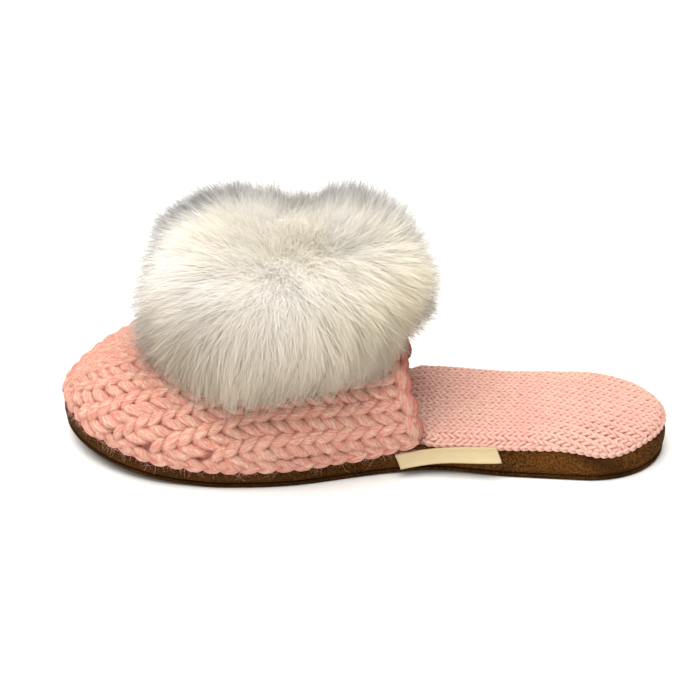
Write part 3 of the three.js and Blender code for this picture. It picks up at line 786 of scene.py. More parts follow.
def pad_wrap(plane, depth, border, ways):
    """A flat pattern's points laid over the pad, and bent down round its shoulder: what lies past
    the border goes out by the radius times the sine of its turn and down by the rest of the
    cosine. Gives points, normals and the distances past the border."""
    flat = plane.reshape(-1, 2)
    parts = [flat[start:start + WRAP_BLOCK] for start in range(0, len(flat), WRAP_BLOCK)]
    near = np.concatenate([((part[:, None] - border) ** 2).sum(-1).argmin(1) for part in parts])
    spot, way = border[near], ways[near]
    past = ((flat - spot) * way).sum(-1)
    out = past > 0
    radius = pad_radius(spot[:, 0])
    turn = np.where(out, np.clip(past / radius, 0, np.pi / 2 * 0.96), 0.0)
    foot = np.where(out[:, None], spot, flat)
    bent = flat + way * np.where(out, radius * np.sin(turn) - past, 0.0)[:, None]
    top = pad_height(foot[:, 0], foot[:, 1])
    normal = unit(np.concatenate([way * np.sin(turn)[:, None], np.cos(turn)[:, None]], -1))
    sag = pad_sag(bent[:, 0], bent[:, 1])
    z = top - radius * (1 - np.cos(turn)) - DIP_DEPTH * sag
    bent = bent + way * (DIP_OUT * sag * out)[:, None]
    point = np.concatenate([bent, z[:, None]], -1) - normal * depth.reshape(-1)[:, None]
    return point.reshape(*plane.shape[:-1], 3), normal.reshape(*plane.shape[:-1], 3), past


def pad_sunk(xy, z, outward=None):
    """Points of the pad that hang down and out beside the heel with its sag."""
    sag = pad_sag(xy[:, 0], xy[:, 1])
    if outward is not None:
        xy = xy + outward * (DIP_OUT * sag)[:, None]
    return np.stack([xy[:, 0], xy[:, 1], z - DIP_DEPTH * sag], -1)


def pad(paint, settings, border, ways):
    """The pad under the knit: rings round its shoulder by the sine and cosine of a quarter turn,
    then rings of the top drawn in to the long axis, and a foot closed the same way."""
    radius, under = pad_radius(border[:, 0]), settings.fine_yarn * PER_METRE * 1.25
    height = pad_height(border[:, 0], border[:, 1])
    rings = []
    for turn in np.linspace(np.pi / 2, 0, 7):
        xy = border + ways * ((radius - under) * np.sin(turn))[:, None]
        z = height - under - (radius - under) * (1 - np.cos(turn))
        rings.append(pad_sunk(xy, z, ways))
    foot = rings[0].copy()
    foot[:, 2] -= (rings[0][:, 2] - suede_top(foot[:, 0]) - SOLE_GAP) * (ways[:, 1] < 0.3)
    middle = []
    for share in np.linspace(1, 0, 14)[1:]:
        y = border[:, 1] * share
        middle.append(pad_sunk(np.stack([border[:, 0], y], -1),
                               pad_height(border[:, 0], y) - under))
    closed = foot * [1, 0, 1]
    piece = sheet_mesh("insole_pad", np.stack([closed, foot, *rings, *middle]), paint["under"],
                       (False, True))
    own(piece, "knit_fine_pink", "insole")


def wale_skew(border):
    """A function that gives how far the insole's wales drift at x: along the pad's inner edge,
    and behind the arch towards it, by a square that turns straight."""
    inner = border[:, 1] > 0
    order = np.argsort(border[inner, 0])
    edge_x, edge_y = border[inner, 0][order], border[inner, 1][order]

    def skew(x):
        past = np.maximum(x, SKEW_FROM - 8)
        edge = np.interp(past, edge_x, edge_y) + PAD_THICK * side_value("pad", past) * 1.38
        bend = np.maximum(SKEW_FROM - x, 0) ** 2 / (np.abs(SKEW_FROM - x) + 14)
        return edge + SKEW * bend

    return skew


def insole_edge(paint, settings, border, ways, rng):
    """A chain of fine yarn round the foot of the pad's shoulder, where no vamp hides it."""
    thick, course = settings.fine_yarn * PER_METRE, settings.fine_course * PER_METRE
    first = int(border[:, 0].argmax())
    xy, way = np.roll(border, -first, axis=0), np.roll(ways, -first, axis=0)
    radius = pad_radius(xy[:, 0])
    z = pad_height(xy[:, 0], xy[:, 1]) - radius + thick * 0.5
    rim = pad_sunk(xy + way * (radius - thick * 0.55)[:, None], z, way)
    shown = xy[:, 0] < collar_foot(1) + RIM_LAP
    out = np.concatenate([way, np.full((len(way), 1), 0.35)], -1)[shown]
    path, normal, width, height, depth = chain(
        rim[shown], unit(out), np.broadcast_to([0.0, 0.0, 1.0], out.shape), course * 1.25,
        thick * 1.75, thick * 1.05, rng, steps=9, shake=0.05)
    edge = strands("insole_edge", path, normal, width, height, 6, paint["fine"],
                   rng.random(len(path)), depth, caps=False)
    own(edge, "knit_fine_pink")


def insole(paint, settings):
    """Pad with rounded shoulders, and its cover of fine stocking stitch: each stitch is two legs
    from the STITCH table, laid in a flat pattern with its wales along the foot, then wrapped.
    The part of the cover under the vamp has fewer points to a stitch."""
    border, ways = pad_border()
    pad(paint, settings, border, ways)
    skew = wale_skew(border)
    wale, course = settings.fine_wale * PER_METRE, settings.fine_course * PER_METRE
    thick = settings.fine_yarn * PER_METRE
    rng = np.random.default_rng(11)
    insole_edge(paint, settings, border, ways, rng)
    wales = -np.arange(INSOLE_WALES) - 0.12
    seats = np.arange(HEEL_END - 10, TOE_END + 10, course)
    at_x, at_y = np.meshgrid(seats, wales * wale, indexing="ij")
    middle = np.stack([at_x.reshape(-1), at_y.reshape(-1)], -1)
    middle[:, 1] += skew(middle[:, 0])
    _, _, past = pad_wrap(middle, np.zeros(len(middle)), border, ways)
    arc = PAD_THICK * np.pi / 2 * side_value("pad", middle[:, 0])
    middle = middle[past < arc * 0.97]
    front = middle[:, 0] > collar_foot(1) + COVER_LAP
    for name, chosen, steps, sides in (("insole_cover_heel", ~front, 7, 6),
                                       ("insole_cover_front", front, 5, 4)):
        spots = middle[chosen]
        t = np.linspace(0.25, 0.8, steps)
        across, along = column(STITCH, "across", t) * wale, -column(STITCH, "along", t) * course
        depth = (column(STITCH, "depth", t) - 0.1) * thick
        plane = np.stack([
            np.stack([spots[:, 0, None] + along, spots[:, 1, None] + side * across], -1)
            for side in (-1, 1)]).reshape(-1, steps, 2)
        plane[..., 1] += skew(plane[..., 0]) - skew(np.tile(spots[:, :1], (2, 1)))
        plane += rng.normal(0, 0.02, (len(plane), 1, 2)) * wale
        deep = np.broadcast_to(depth, plane.shape[:2])
        _, _, past = pad_wrap(plane, deep, border, ways)
        arc = PAD_THICK * np.pi / 2 * side_value("pad", plane[..., 0].reshape(-1))
        deep = deep + 1.1 * smooth((past / arc - 0.86) / 0.14).reshape(deep.shape)
        path, normal, _ = pad_wrap(plane, deep, border, ways)
        size = column(STITCH, "thick", t) * thick
        width = np.broadcast_to(size, plane.shape[:2]) * rng.normal(1, 0.05, (len(plane), 1))
        cover = strands(name, path, normal, width, width * 0.92, sides, paint["fine"],
                        rng.random(len(plane)), deep / thick + 0.1, caps=False)
        own(cover, "knit_fine_pink")


def wale_offset(index, x):
    """Distance of a wale from the crest, for whole and part numbers of wales."""
    lines = np.stack([column(WALES, f"w{k}", x) for k in range(9)], -1)
    share = np.clip(np.abs(index), 0, 7.999)
    low = share.astype(int)
    part = share - low
    a = np.take_along_axis(lines, low[..., None], -1)[..., 0]
    b = np.take_along_axis(lines, low[..., None] + 1, -1)[..., 0]
    return np.sign(index) * (a + (b - a) * part)


def to_tip(start, tip, count):
    """Places from a start to a tip, closer together towards the tip: the sine of the share. Of
    many starts it gives a row for each step."""
    share = np.sin(np.linspace(0, 1, count) * np.pi / 2)
    return start + (tip - start) * (share[:, None] if np.ndim(start) else share)


def vamp_cloth():
    """The vamp's outside as a cloth, from behind the collar almost to the tip."""
    return Cloth(to_tip(collar_foot(1) - 6, vamp_tip(0.0) - 0.4, 240), vamp_point)


def vamp_knit(paint, settings):
    """Wales of bulky stocking stitch on the vamp: along each wale's line from collar to toe, one
    whole stitch of the STITCH table to a course, as wide as the wale is there, and drawn square
    to the line where the chart is skewed."""
    cloth = vamp_cloth()
    rng = np.random.default_rng(5)
    yarn, course = settings.yarn * PER_METRE, settings.course * PER_METRE
    t = np.linspace(0, 1, 13)
    t = np.concatenate([t, 2 - t[-2::-1]])
    half = np.where(t <= 1, t, 2 - t)
    side = np.where(t <= 1, 1.0, -1.0)
    across, along = column(STITCH, "across", half) * side, column(STITCH, "along", half)
    depth, thick = column(STITCH, "depth", half) * yarn, column(STITCH, "thick", half) * yarn
    paths, normals, tones, fats = [], [], [], []
    for wale in range(-8, 9):
        x = np.linspace(cloth.xs[0], cloth.xs[-1], 900)
        c = wale_offset(np.full_like(x, wale), x)
        room = cloth.room(x, np.sign(wale) or 1)
        around = 0.5 - 0.5 * np.sign(c) * np.clip(np.abs(c) / room, 0, 1)
        first = collar_x(around) + settings.collar * PER_METRE * 0.45
        if abs(wale) in (1, 2):
            first = np.maximum(first, NEW_WALES_FROM)
        keep = (x > first) & (x < cloth.xs[-1] - 2.5)
        keep &= np.abs(c) < room - settings.edge * PER_METRE * 0.7
        if keep.sum() < 20:
            continue
        x, c = x[keep], c[keep]
        line, _ = cloth.at(x, c, np.zeros_like(x))
        run = np.concatenate([[0], np.cumsum(np.linalg.norm(np.diff(line, axis=0), axis=1))])
        count = max(int(round(run[-1] / course)), 1)
        pitch = run[-1] / count
        seat = ((np.arange(count) + 0.45) * pitch)[:, None]
        ahead, _ = cloth.at(x, c + 1, np.zeros_like(x))
        lean = (unit(np.gradient(line, axis=0)) * unit(ahead - line)).sum(-1)
        lean = np.interp(seat, run, lean)
        seat_x = np.interp(seat, run, x)
        broad = 2 * np.abs(wale_offset(np.full_like(seat_x, abs(wale)), seat_x)
                           - wale_offset(np.full_like(seat_x, abs(abs(wale) - 0.5)), seat_x))
        place = seat - along * pitch + rng.normal(0, 0.25, (count, 1)) - across * broad * lean
        over = place - np.clip(place, 0, run[-1])
        px = np.clip(np.interp(place, run, x) + over * 0.9, cloth.xs[0], cloth.xs[-1] - 0.6)
        pc = wale_offset(wale + across + rng.normal(0, 0.018, (count, 1)), px)
        fats.append(np.clip(broad * np.sqrt(1 - lean**2) / MEAN_WALE, 0.85, 1.35) ** 0.6)
        deep = np.broadcast_to(depth, px.shape) + rng.normal(0, 0.12, (count, 1))
        point, normal = cloth.at(px, pc, deep)
        paths.append(point)
        normals.append(normal)
        tones.append(rng.random(count))
    paths, normals = np.concatenate(paths), np.concatenate(normals)
    size = thick * np.concatenate(fats) * rng.normal(1, 0.045, (len(paths), 1))
    knit = strands("vamp_knit", paths, normals, size, size * 0.9, 9, paint["chunky"],
                   np.concatenate(tones), depth / yarn)
    own(knit, "knit_chunky_pink", "upper")
    return cloth


def vamp_lining(paint, settings):
    """The knit's backing, in the lining's painted shade: the vamp's own surface at two depths of its
    wall, from the collar to the toe, joined into one shell."""
    around = np.linspace(0, 1, 97)
    layers = []
    for depth in (settings.yarn * PER_METRE * 1.15, KNIT_WALL - 0.5):
        rows = to_tip(collar_x(around) + 3.2, vamp_tip(depth), 70)
        layer = np.stack([vamp_point(row, around, depth) for row in rows])
        layer[-1, :, 1] = 0
        layers.append(layer)
    grid = np.concatenate([layers[0], layers[1][::-1]])
    lining = sheet_mesh("vamp_lining", grid, paint["lining"], (True, False))
    own(lining, "knit_chunky_pink")


def chain(centre, out, side, pitch, radius, yarn, rng, steps=15, shake=0.15):
    """A chain of links laid round a rope: legs wind from its outermost line to either side.

    centre, out and side are dense arrays along the rope; a link's legs turn from out towards
    side and towards its opposite."""
    run = np.concatenate([[0], np.cumsum(np.linalg.norm(np.diff(centre, axis=0), axis=1))])
    count = int(round(run[-1] / pitch))
    pitch = run[-1] / count
    t = np.linspace(0, 1, steps)
    turn, along = column(LINK, "turn", t) * np.pi / 2, column(LINK, "along", t)
    sink, thick = column(LINK, "sink", t), column(LINK, "thick", t) * yarn
    paths, normals = [], []
    for leg in (1, -1):
        place = ((np.arange(count) + 0.5)[:, None] + along) * pitch
        place = np.clip(place + rng.normal(0, shake, (count, 1)), 0, run[-1])
        spot, a, b = (np.stack([np.interp(place, run, field[:, k]) for k in range(3)], -1)
                      for field in (centre, out, side))
        way = unit(a * np.cos(turn)[:, None] + leg * b * np.sin(turn)[:, None])
        paths.append(spot + way * (radius - yarn - sink * yarn * 1.1)[:, None])
        normals.append(way)
    paths, normals = np.concatenate(paths), np.concatenate(normals)
    size = np.broadcast_to(thick, paths.shape[:2]) * rng.normal(1, 0.05, (len(paths), 1))
    return paths, normals, size, size * 0.9, 0.8 + 1.1 * sink


def core(name, centre, side, radius, paint, tone):
    """The middle of a rope that a chain winds round, dark in the lining's painted shade: a round tube
    along its middle.
    """
    size = np.full((1, len(centre)), radius)
    tube = strands(name, centre[None], side[None], size, size, 10, paint["lining"],
                   np.array([tone]), 1.0)
    own(tube, "knit_chunky_pink")


def edge_braid(paint, settings):
    """The twisted edge that runs round the vamp's foot, just above the suede: a chain round a
    rope that follows the plan, and hangs a little along the ball."""
    rng = np.random.default_rng(23)
    yarn, radius = settings.yarn * PER_METRE * 0.86, settings.edge * PER_METRE * 0.72

    def hang(x):
        return smooth((x - HANG_FROM) / 18) * smooth((HANG_TO - x) / 40)

    def inset(x):
        tipwards = 1 - overhang(x) / OVERHANG
        return radius - overhang(x) - 0.9 + 0.3 * tipwards - HANG_OUT * hang(x)

    tip = settle(TOE_END, lambda x: -inset(x))
    sides = []
    for side in (1.0, -1.0):
        x = to_tip(collar_foot(side) + 2.5, tip, 400)
        y = side * half_width(x, side, inset(x))
        y[-1] = 0
        z = suede_top(x) + KNIT_GAP + radius * 0.93 - HANG_DOWN * hang(x)
        sides.append(np.stack([x, y, z], -1))
    centre = np.concatenate([sides[0], sides[1][-2::-1]])
    up = np.broadcast_to([0.0, 0.0, 1.0], centre.shape)
    out = unit(np.cross(unit(np.gradient(centre, axis=0)), up))
    out = np.where((out * (centre - [150.0, 0, 0])).sum(-1, keepdims=True) < 0, -out, out)
    path, normal, width, height, sunk = chain(centre, out, up, settings.edge_link * PER_METRE,
                                              radius, yarn, rng)
    braid = strands("vamp_edge_braid", path, normal, width, height, 9, paint["chunky"],
                    rng.random(len(path)), sunk)
    own(braid, "knit_chunky_pink")
    core("vamp_edge_core", centre[::8], up[::8], radius * 0.62, paint, 0.4)


def collar_edge(paint, settings, cloth):
    """The bound-off edge: a chain of large slanted stitches round a rope along the collar, which
    lies in the cloth and never sinks into the suede."""
    rng = np.random.default_rng(31)
    yarn, radius = settings.yarn * PER_METRE * 1.04, settings.collar * PER_METRE * 0.5
    around = np.linspace(0, 1, 500)
    x = collar_x(around) + radius * 0.92
    c = np.where(around < 0.5, cloth.room(x, 1), cloth.room(x, -1)) * (1 - 2 * around)
    centre, normal = cloth.at(x, c, np.full_like(x, radius * 0.72))
    centre[:, 2] = np.maximum(centre[:, 2], suede_top(centre[:, 0]) + KNIT_GAP + radius * 0.9)
    way = unit(np.gradient(centre, axis=0))
    back = unit(np.cross(way, normal))
    back = np.where(back[:, :1] > 0, -back, back)
    out = unit(back * 0.85 + normal * 0.5)
    path, normals, width, height, sunk = chain(centre, out, unit(np.cross(way, out)),
                                               settings.collar_link * PER_METRE, radius, yarn, rng)
    hem = strands("vamp_collar_edge", path, normals, width, height, 10, paint["chunky"],
                  rng.random(len(path)), sunk)
    own(hem, "knit_chunky_pink")
    core("vamp_collar_core", centre[::10], normal[::10], radius * 0.6, paint, 0.6)


def ribbons(name, paths, facing, widths, material, values):
    """Hairs: flat strips that taper to a point, each half its width to either side of its path,
    at right angles to the path and to the way it faces."""
    count, steps = paths.shape[:2]
    across = unit(np.cross(unit(np.gradient(paths, axis=1)), facing))[:, :-1]
    half = across * widths[:, :, None] / 2
    body = np.stack([paths[:, :-1] - half, paths[:, :-1] + half], 2).reshape(count, -1, 3)
    points = np.concatenate([body, paths[:, -1:]], axis=1)
    per = points.shape[1]
    base = np.arange(count)[:, None] * per
    k = np.arange(steps - 2) * 2
    quads = np.stack([base + k, base + k + 1, base + k + 3, base + k + 2], -1).reshape(-1, 4)
    last = 2 * (steps - 2)
    tris = np.concatenate([base + last, base + last + 1, base + last + 2], axis=1)
    share = np.repeat(np.linspace(0, 1, steps)[:-1], 2)
    marks = {key: np.repeat(value, per) for key, value in values.items()}
    marks["along"] = np.tile(np.append(share, 1.0), count)
    return build(name, points.reshape(-1, 3), quads, material, tris=tris, marks=marks)


def fur_centre():
    """Middle of the pompom: on the vamp's crest, raised by its seat."""
    x = TOE_END - POM_BACK
    top = float(suede_top(np.array(x))) + KNIT_GAP + BRAID_HEIGHT + VAMP_RISE
    return np.array([x, 0.0, top + POM_SIT])


def tuft_sizes():
    """Middles and half sizes of the tufts, from their shares."""
    scale = np.array([POM_LENGTH, POM_WIDTH, POM_HEIGHT])
    spots = np.array([[t["x"], t["y"], t["z"]] for t in TUFTS]) * scale + fur_centre()
    sizes = np.array([[t["length"], t["width"], t["height"]] for t in TUFTS]) * scale
    return spots, sizes


def swirl(points, seed, scale):
    """Smooth wandering directions: the sum of seven sine waves that run in random directions and
    push in other random directions, from a fixed seed."""
    rng = np.random.default_rng(seed)
    total = np.zeros_like(points)
    for _ in range(7):
        wave = rng.normal(0, 1, 3) * scale
        total += np.sin(points @ wave + rng.uniform(0, 6.28))[..., None] * rng.normal(0, 1, 3)
    return total / 2.6  # about 1 long, as the seven add up by chance


def fur_reach(way, centre):
    """Distance from the hairs' middle along each way to the outside of the fur's body: the far
    root of the ray's quadratic with each tuft's ellipsoid, and the body's own ellipsoid."""
    reach = np.zeros(len(way))
    for spot, size in zip(*tuft_sizes()):
        origin, ray = (centre - spot) / size, way / size
        a, b = (ray * ray).sum(-1), ray @ origin
        inside = b * b - a * ((origin * origin).sum() - 1)
        far = (np.sqrt(np.maximum(inside, 0)) - b) / a
        reach = np.maximum(reach, np.where(inside > 0, far, 0))
    soft = np.array([POM_LENGTH, POM_WIDTH, POM_HEIGHT]) * FUR_BODY
    return np.maximum(reach, 1 / np.sqrt(((way / soft) ** 2).sum(-1)))


def sphere_ways(count, rng, jitter):
    """Directions spread evenly over a sphere along a golden spiral, then shaken a little."""
    i = np.arange(count) + 0.5
    up = 1 - 2 * i / count
    turn = i * np.pi * (3 - np.sqrt(5))
    flat = np.sqrt(1 - up * up)
    way = np.stack([flat * np.cos(turn), flat * np.sin(turn), up], -1)
    return unit(way + rng.normal(0, jitter, way.shape))


def parting(way):
    """Nearness to the line where the fur parts, 1 on it and 0 a few millimetres away."""
    steps = np.linspace(0, len(PARTING) - 1, 60)
    line = unit(np.stack([np.interp(steps, range(len(PARTING)), field)
                          for field in zip(*PARTING)], -1))
    near = np.concatenate([(part @ line.T).max(1) for part in np.array_split(way, 12)])
    return bell(np.arccos(np.clip(near, -1, 1)), 0.055)


def hairs(rng, settings, centre):
    """Paths, ways and nearness to the parting of the hairs that show.

    A hair goes out from the middle by its reach, bends with the swirl, its lock and its own stray
    by a power of its length, and falls away from the crown. None sinks into the vamp."""
    way = sphere_ways(int(settings.hairs * SPARE_HAIRS), rng, 0.012)
    lock_way = sphere_ways(settings.locks, rng, 0.05)
    lock = np.concatenate([(part @ lock_way.T).argmax(1) for part in np.array_split(way, 12)])
    part_line = parting(way)
    reach, lock_reach = fur_reach(way, centre), fur_reach(lock_way, centre)
    reach = reach * (1 - 0.05 * part_line)
    count = len(way)
    front = smooth((way @ unit(np.array(FACING)) - 0.2) / 0.5)
    long = 1 + settings.fluff * (1 + rng.normal(0, 0.28, count)) * (1 - 0.3 * front)
    lock_long = 1 + settings.fluff * (1.1 + rng.normal(0, 0.3, len(lock_way)))
    lock_tip = centre + lock_way * (lock_reach * lock_long)[:, None]
    lock_tip += rng.normal(0, 2.0, lock_tip.shape)
    sweep = swirl(way * 40, 9, 0.09) * 4.5 + swirl(way * 40, 29, 0.24) * 1.3
    tip = centre + way * (reach * long)[:, None]
    low_half = smooth((0.25 - way[:, 2:]) / 0.6)
    pull = (lock_tip[lock] - tip) * rng.uniform(0.0, 0.3, (count, 1)) * (1 + 0.9 * low_half)
    curl = rng.normal(0, 1.9, (count, 3))
    stray = rng.normal(0, 2.5, (count, 3)) * (1 - 0.6 * low_half)
    crown = unit(np.array(CROWN))
    down = way @ crown
    fall = unit(way * down[:, None] - crown)
    low_half = low_half[:, 0]
    amount = smooth((0.95 - down) / 0.6) * smooth((down + 0.75) / 0.5)
    lay = settings.drape * (12 * amount + 4 * low_half) * rng.uniform(0.6, 1.3, count)
    lay = lay * (1 + 0.5 * front * (1 - low_half))
    wisp = (rng.random(count) < WISPS) * smooth((0.2 - way[:, 2]) / 0.5)
    long, lay = long + 0.1 * wisp, lay * (1 + 0.7 * wisp)
    path = []
    for s in HAIR_STEPS:
        spot = centre + way * (reach * (HAIR_ROOT + (long - HAIR_ROOT) * s))[:, None]
        spot = spot + (pull + sweep + stray) * s**1.6 + curl * np.sin(np.pi * s) * 0.8
        spot = spot + fall * (lay * s**1.5)[:, None] - way * (lay * 0.12 * s**2)[:, None]
        path.append(spot)
    path = np.stack(path, 1)
    end_x, end_y, end_z = path[:, -1].T
    floor = vamp_top(path[..., 0], path[..., 1]) + 0.5 + rng.random((count, 1)) * 3
    hidden = (end_z < vamp_top(end_x, end_y) - SUNK_TIP) | (end_z < LOWEST_TIP)
    hidden |= (end_x < MOUTH_END) & (end_z < MOUTH_TOP)
    path[..., 2] = np.maximum(path[..., 2], floor)
    keep = np.flatnonzero(~hidden)
    if len(keep) > settings.hairs:
        keep = np.sort(rng.choice(keep, settings.hairs, replace=False))
    keep = keep[::-1]
    return path[keep], way[keep], part_line[keep]


def hide(centre, steps=41, turns=96):
    """Grid of the hide under the hairs: a sphere's ways times a share of the fur's reach, held
    above the vamp."""
    u = np.linspace(0, np.pi, steps)[:, None]
    v = np.linspace(0, 2 * np.pi, turns + 1)[None, :-1]
    way = np.stack([np.sin(u) * np.cos(v), np.sin(u) * np.sin(v), np.cos(u) + 0 * v], -1)
    flat = way.reshape(-1, 3)
    reach = 0.925 * fur_reach(flat, centre) * (1 - 0.06 * parting(flat))
    grid = way * reach.reshape(steps, turns, 1) + centre
    grid[..., 2] = np.maximum(grid[..., 2], vamp_top(grid[..., 0], grid[..., 1]) + 0.3)
    return grid


def pompom(paint, settings):
    """Fur: hairs in three pieces over a hide. Tips are marked for painted shade in a band round the
    far edge, by smooth steps of how far a hair turns from the fur's front, wider on the toe side."""
    rng = np.random.default_rng(77)
    centre = fur_centre() + np.array(FUR_SHIFT)
    path, way, part_line = hairs(rng, settings, centre)
    # The mask of painted shade at the tips round the far edge, from the fur's front.
    facing = way @ unit(np.array(FACING))
    toe_side = smooth((way[:, 0] - 0.3) / 0.4)
    grey = smooth((0.32 + 0.13 * toe_side - facing) / 0.35) * smooth((facing + 0.6) / 0.4)
    grey *= smooth((way[:, 2] + 0.35 + 0.1 * toe_side) / 0.5) * (1 + 0.9 * toe_side)
    width = settings.hair * PER_METRE * np.array(HAIR_TAPER)
    names = ("pompom_fur_low", "pompom_fur_middle", "pompom_fur_top")
    for name, part in zip(names, np.array_split(np.arange(len(path)), 3)):
        face = unit(way[part] + rng.normal(0, 0.3, (len(part), 3)))[:, None]
        face = np.broadcast_to(face, path[part].shape)
        size = width * rng.uniform(0.65, 1.3, (len(part), 1))
        marks = {"tone": rng.random(len(part)), "grey": grey[part],
                 "parting": part_line[part] * 0.15}
        hair = ribbons(name, path[part], face, size, paint["fur"], marks)
        own(hair, "fur_white", *(["pompom"] if name == names[0] else []))
    own(sheet_mesh("pompom_hide", hide(centre), paint["hide"], (False, True)), "fur_white")


def halo(paint, settings, cloth):
    """Loose fibres that stand off the bulky knit, thicker towards its edges. Each leaves along
    the normal and drifts sideways by the square of its length."""
    rng = np.random.default_rng(41)
    count = settings.fibres
    x = rng.uniform(cloth.xs[0] + 6, cloth.xs[-1] - 1, count)
    side = np.where(rng.random(count) < 0.5, 1.0, -1.0)
    room = np.where(side > 0, cloth.room(x, 1), cloth.room(x, -1))
    c = side * room * (1.02 - rng.random(count) ** 1.7)
    around = 0.5 - 0.5 * c / room
    keep = x > collar_x(around) + 2
    x, c = x[keep], c[keep]
    count = len(x)
    root, normal = cloth.at(x, c, np.full(count, 0.6))
    drift = unit(np.cross(normal, rng.normal(0, 1, (count, 3))))
    long = rng.gamma(2.2, 1.0, (count, 1)) * settings.fibre * PER_METRE / 2.2
    curl = rng.normal(0, 0.5, (count, 3))
    path = []
    for s in np.linspace(0, 1, 4):
        path.append(root + (normal * 0.55 * s + drift * (0.5 * s + 0.6 * s * s)
                            + curl * s * s * 0.8) * long)
    path = np.stack(path, 1)
    path[..., 2] = np.maximum(path[..., 2], suede_top(path[..., 0]) - 2.5)
    face = np.broadcast_to(unit(rng.normal(0, 1, (count, 1, 3))), path.shape)
    width = np.broadcast_to(np.array(FIBRE_WIDTHS), (count, 3))
    fuzz = ribbons("vamp_halo", path, face, width, paint["halo"], {})
    own(fuzz, "knit_chunky_pink")


def label(paint):
    """Blank folded tape: a section of two layers joined by a half round fold, swept along the
    suede's side from the seam. It flares by the FOLD table and curls by a sine along it."""
    steps, rows = 48, 15
    start = collar_foot(1) + TAG_LAP - TAG_LENGTH
    down = np.linspace(0, 1, rows)
    out = column(FOLD, "out", down) * TAG_FLARE
    t = TAG_THICK / 2
    bend = np.linspace(-np.pi / 2, np.pi / 2, 7)[1:-1]
    loop = [(-t, o, d, 0.0) for o, d in zip(out, down)]
    loop += [(np.sin(a) * t, out[-1], 1.0, np.cos(a) * t) for a in bend]
    loop += [(t, o, d, 0.0) for o, d in zip(out[::-1], down[::-1])]
    side, flare, drop, fold = np.array(loop).T
    along = np.linspace(0, 1, steps)[:, None]
    place = start + TAG_LENGTH * along - TAG_SLANT * drop
    curl = 0.35 * np.sin(along * 7.0) * drop
    reach = TAG_GAP + t + side + flare + curl
    sewn = suede_top(place) + TAG_RISE - TAG_TILT * along
    grid = np.stack([place, half_width(place, 1.0, -reach), sewn - TAG_DROP * drop - fold], -1)
    rows, cols = grid.shape[:2]

    def corners(field):
        """The four corners of each cell, in order round it."""
        return np.stack([field[:-1, :-1], field[:-1, 1:], field[1:, 1:], field[1:, :-1]], 2)

    i = np.arange(rows * cols).reshape(rows, cols)
    quads = corners(np.concatenate([i, i[:, :1]], axis=1))
    run = np.cumsum(np.hypot(np.diff(drop) * TAG_DROP, np.diff(side)))
    girth = np.concatenate([[0], run, [run[-1] + TAG_THICK]])
    ends = np.stack([i[0, ::-1], i[-1]])
    uv = corners(np.stack(np.broadcast_arrays(along * TAG_LENGTH, girth), -1)).reshape(-1, 2)
    uv = np.concatenate([uv, np.zeros((ends.size, 2))])
    tape = build("label_tape", grid.reshape(-1, 3), quads.reshape(-1, 4), paint["tape"],
                 ngons=ends, uv=uv)
    own(tape, "label_cream", "tag")


def area_light(name, place, size, power):
    """A round lamp at a place, turned to the light's target."""
    light = bpy.data.lights.new(name, "AREA")
    light.shape, light.size, light.energy, light.color = "DISK", size, power, WARM
    lamp = bpy.data.objects.new(name, light)
    lamp.location = place
    aim = Vector(LIGHT_TARGET) - Vector(place)
    lamp.rotation_euler = aim.to_track_quat("-Z", "Y").to_euler()
    bpy.context.scene.collection.objects.link(lamp)


def photo_camera():
    """A camera at the photo's angle: the eye stands off the target by the distance, the focal
    length gives the scale there, and the shift puts the target on the photo's pixel."""
    turn, height = np.radians(VIEW_TURN), np.radians(VIEW_HEIGHT)
    toward = np.array([-np.sin(turn) * np.cos(height), np.cos(turn) * np.cos(height),
                       np.sin(height)])
    data = bpy.data.cameras.new("camera")
    data.sensor_width = SENSOR
    data.lens = VIEW_SCALE * VIEW_DISTANCE * SENSOR / IMAGE_SIDE
    data.shift_x = -(VIEW_PIXEL[0] - IMAGE_SIDE / 2) / IMAGE_SIDE
    data.shift_y = (VIEW_PIXEL[1] - IMAGE_SIDE / 2) / IMAGE_SIDE
    data.clip_start = 0.01
    camera = bpy.data.objects.new("camera", data)
    camera.location = (np.array(VIEW_TARGET) + toward * VIEW_DISTANCE) * MM
    camera.rotation_euler = Vector(toward).to_track_quat("Z", "Y").to_euler()
    bpy.context.scene.collection.objects.link(camera)
    bpy.context.scene.camera = camera


def stage(settings):
    """Pale floor, soft light from above and the camera at the photo's angle."""
    scene = bpy.context.scene
    paint = Paint("floor_pale")
    grain = paint.noise(paint.position(), 0.01, 2.0, 0.5)
    tone = paint.mix(grain, (0.86, 0.86, 0.86, 1), (0.9, 0.9, 0.9, 1))
    corner = np.array([-FLOOR_HALF, FLOOR_HALF])
    grid = np.stack([*np.meshgrid(corner, corner, indexing="ij"), np.full((2, 2), -0.05)], -1)
    floor = sheet_mesh("floor", grid, paint.finish(tone, 0.85, None), soft=False)
    floor.data.flip_normals()
    world = bpy.data.worlds.new("soft_room")
    world.use_nodes = True
    background = world.node_tree.nodes["Background"]
    background.inputs[0].default_value = rgba(WARM)
    background.inputs[1].default_value = settings.room
    scene.world = world
    for name, place, size, share in LIGHTS:
        area_light(name, place, size, settings.key * share)
    scene.view_settings.view_transform = "Standard"
    scene.view_settings.look = "None"
    photo_camera()


def length(name, default, description):
    """A length in metres that a user can change."""
    return bpy.props.FloatProperty(name=name, default=default, unit="LENGTH",
                                   description=description)


def share(name, default, most, description):
    """A factor from 0 to its most."""
    return bpy.props.FloatProperty(name=name, default=default, min=0, max=most,
                                   description=description)


def number(name, default, description):
    """How many there are of something."""
    return bpy.props.IntProperty(name=name, default=default, description=description)


def colour(name, default, description):
    """A colour of red, green and blue."""
    return bpy.props.FloatVectorProperty(name=name, default=default, subtype="COLOR", size=3,
                                         description=description)


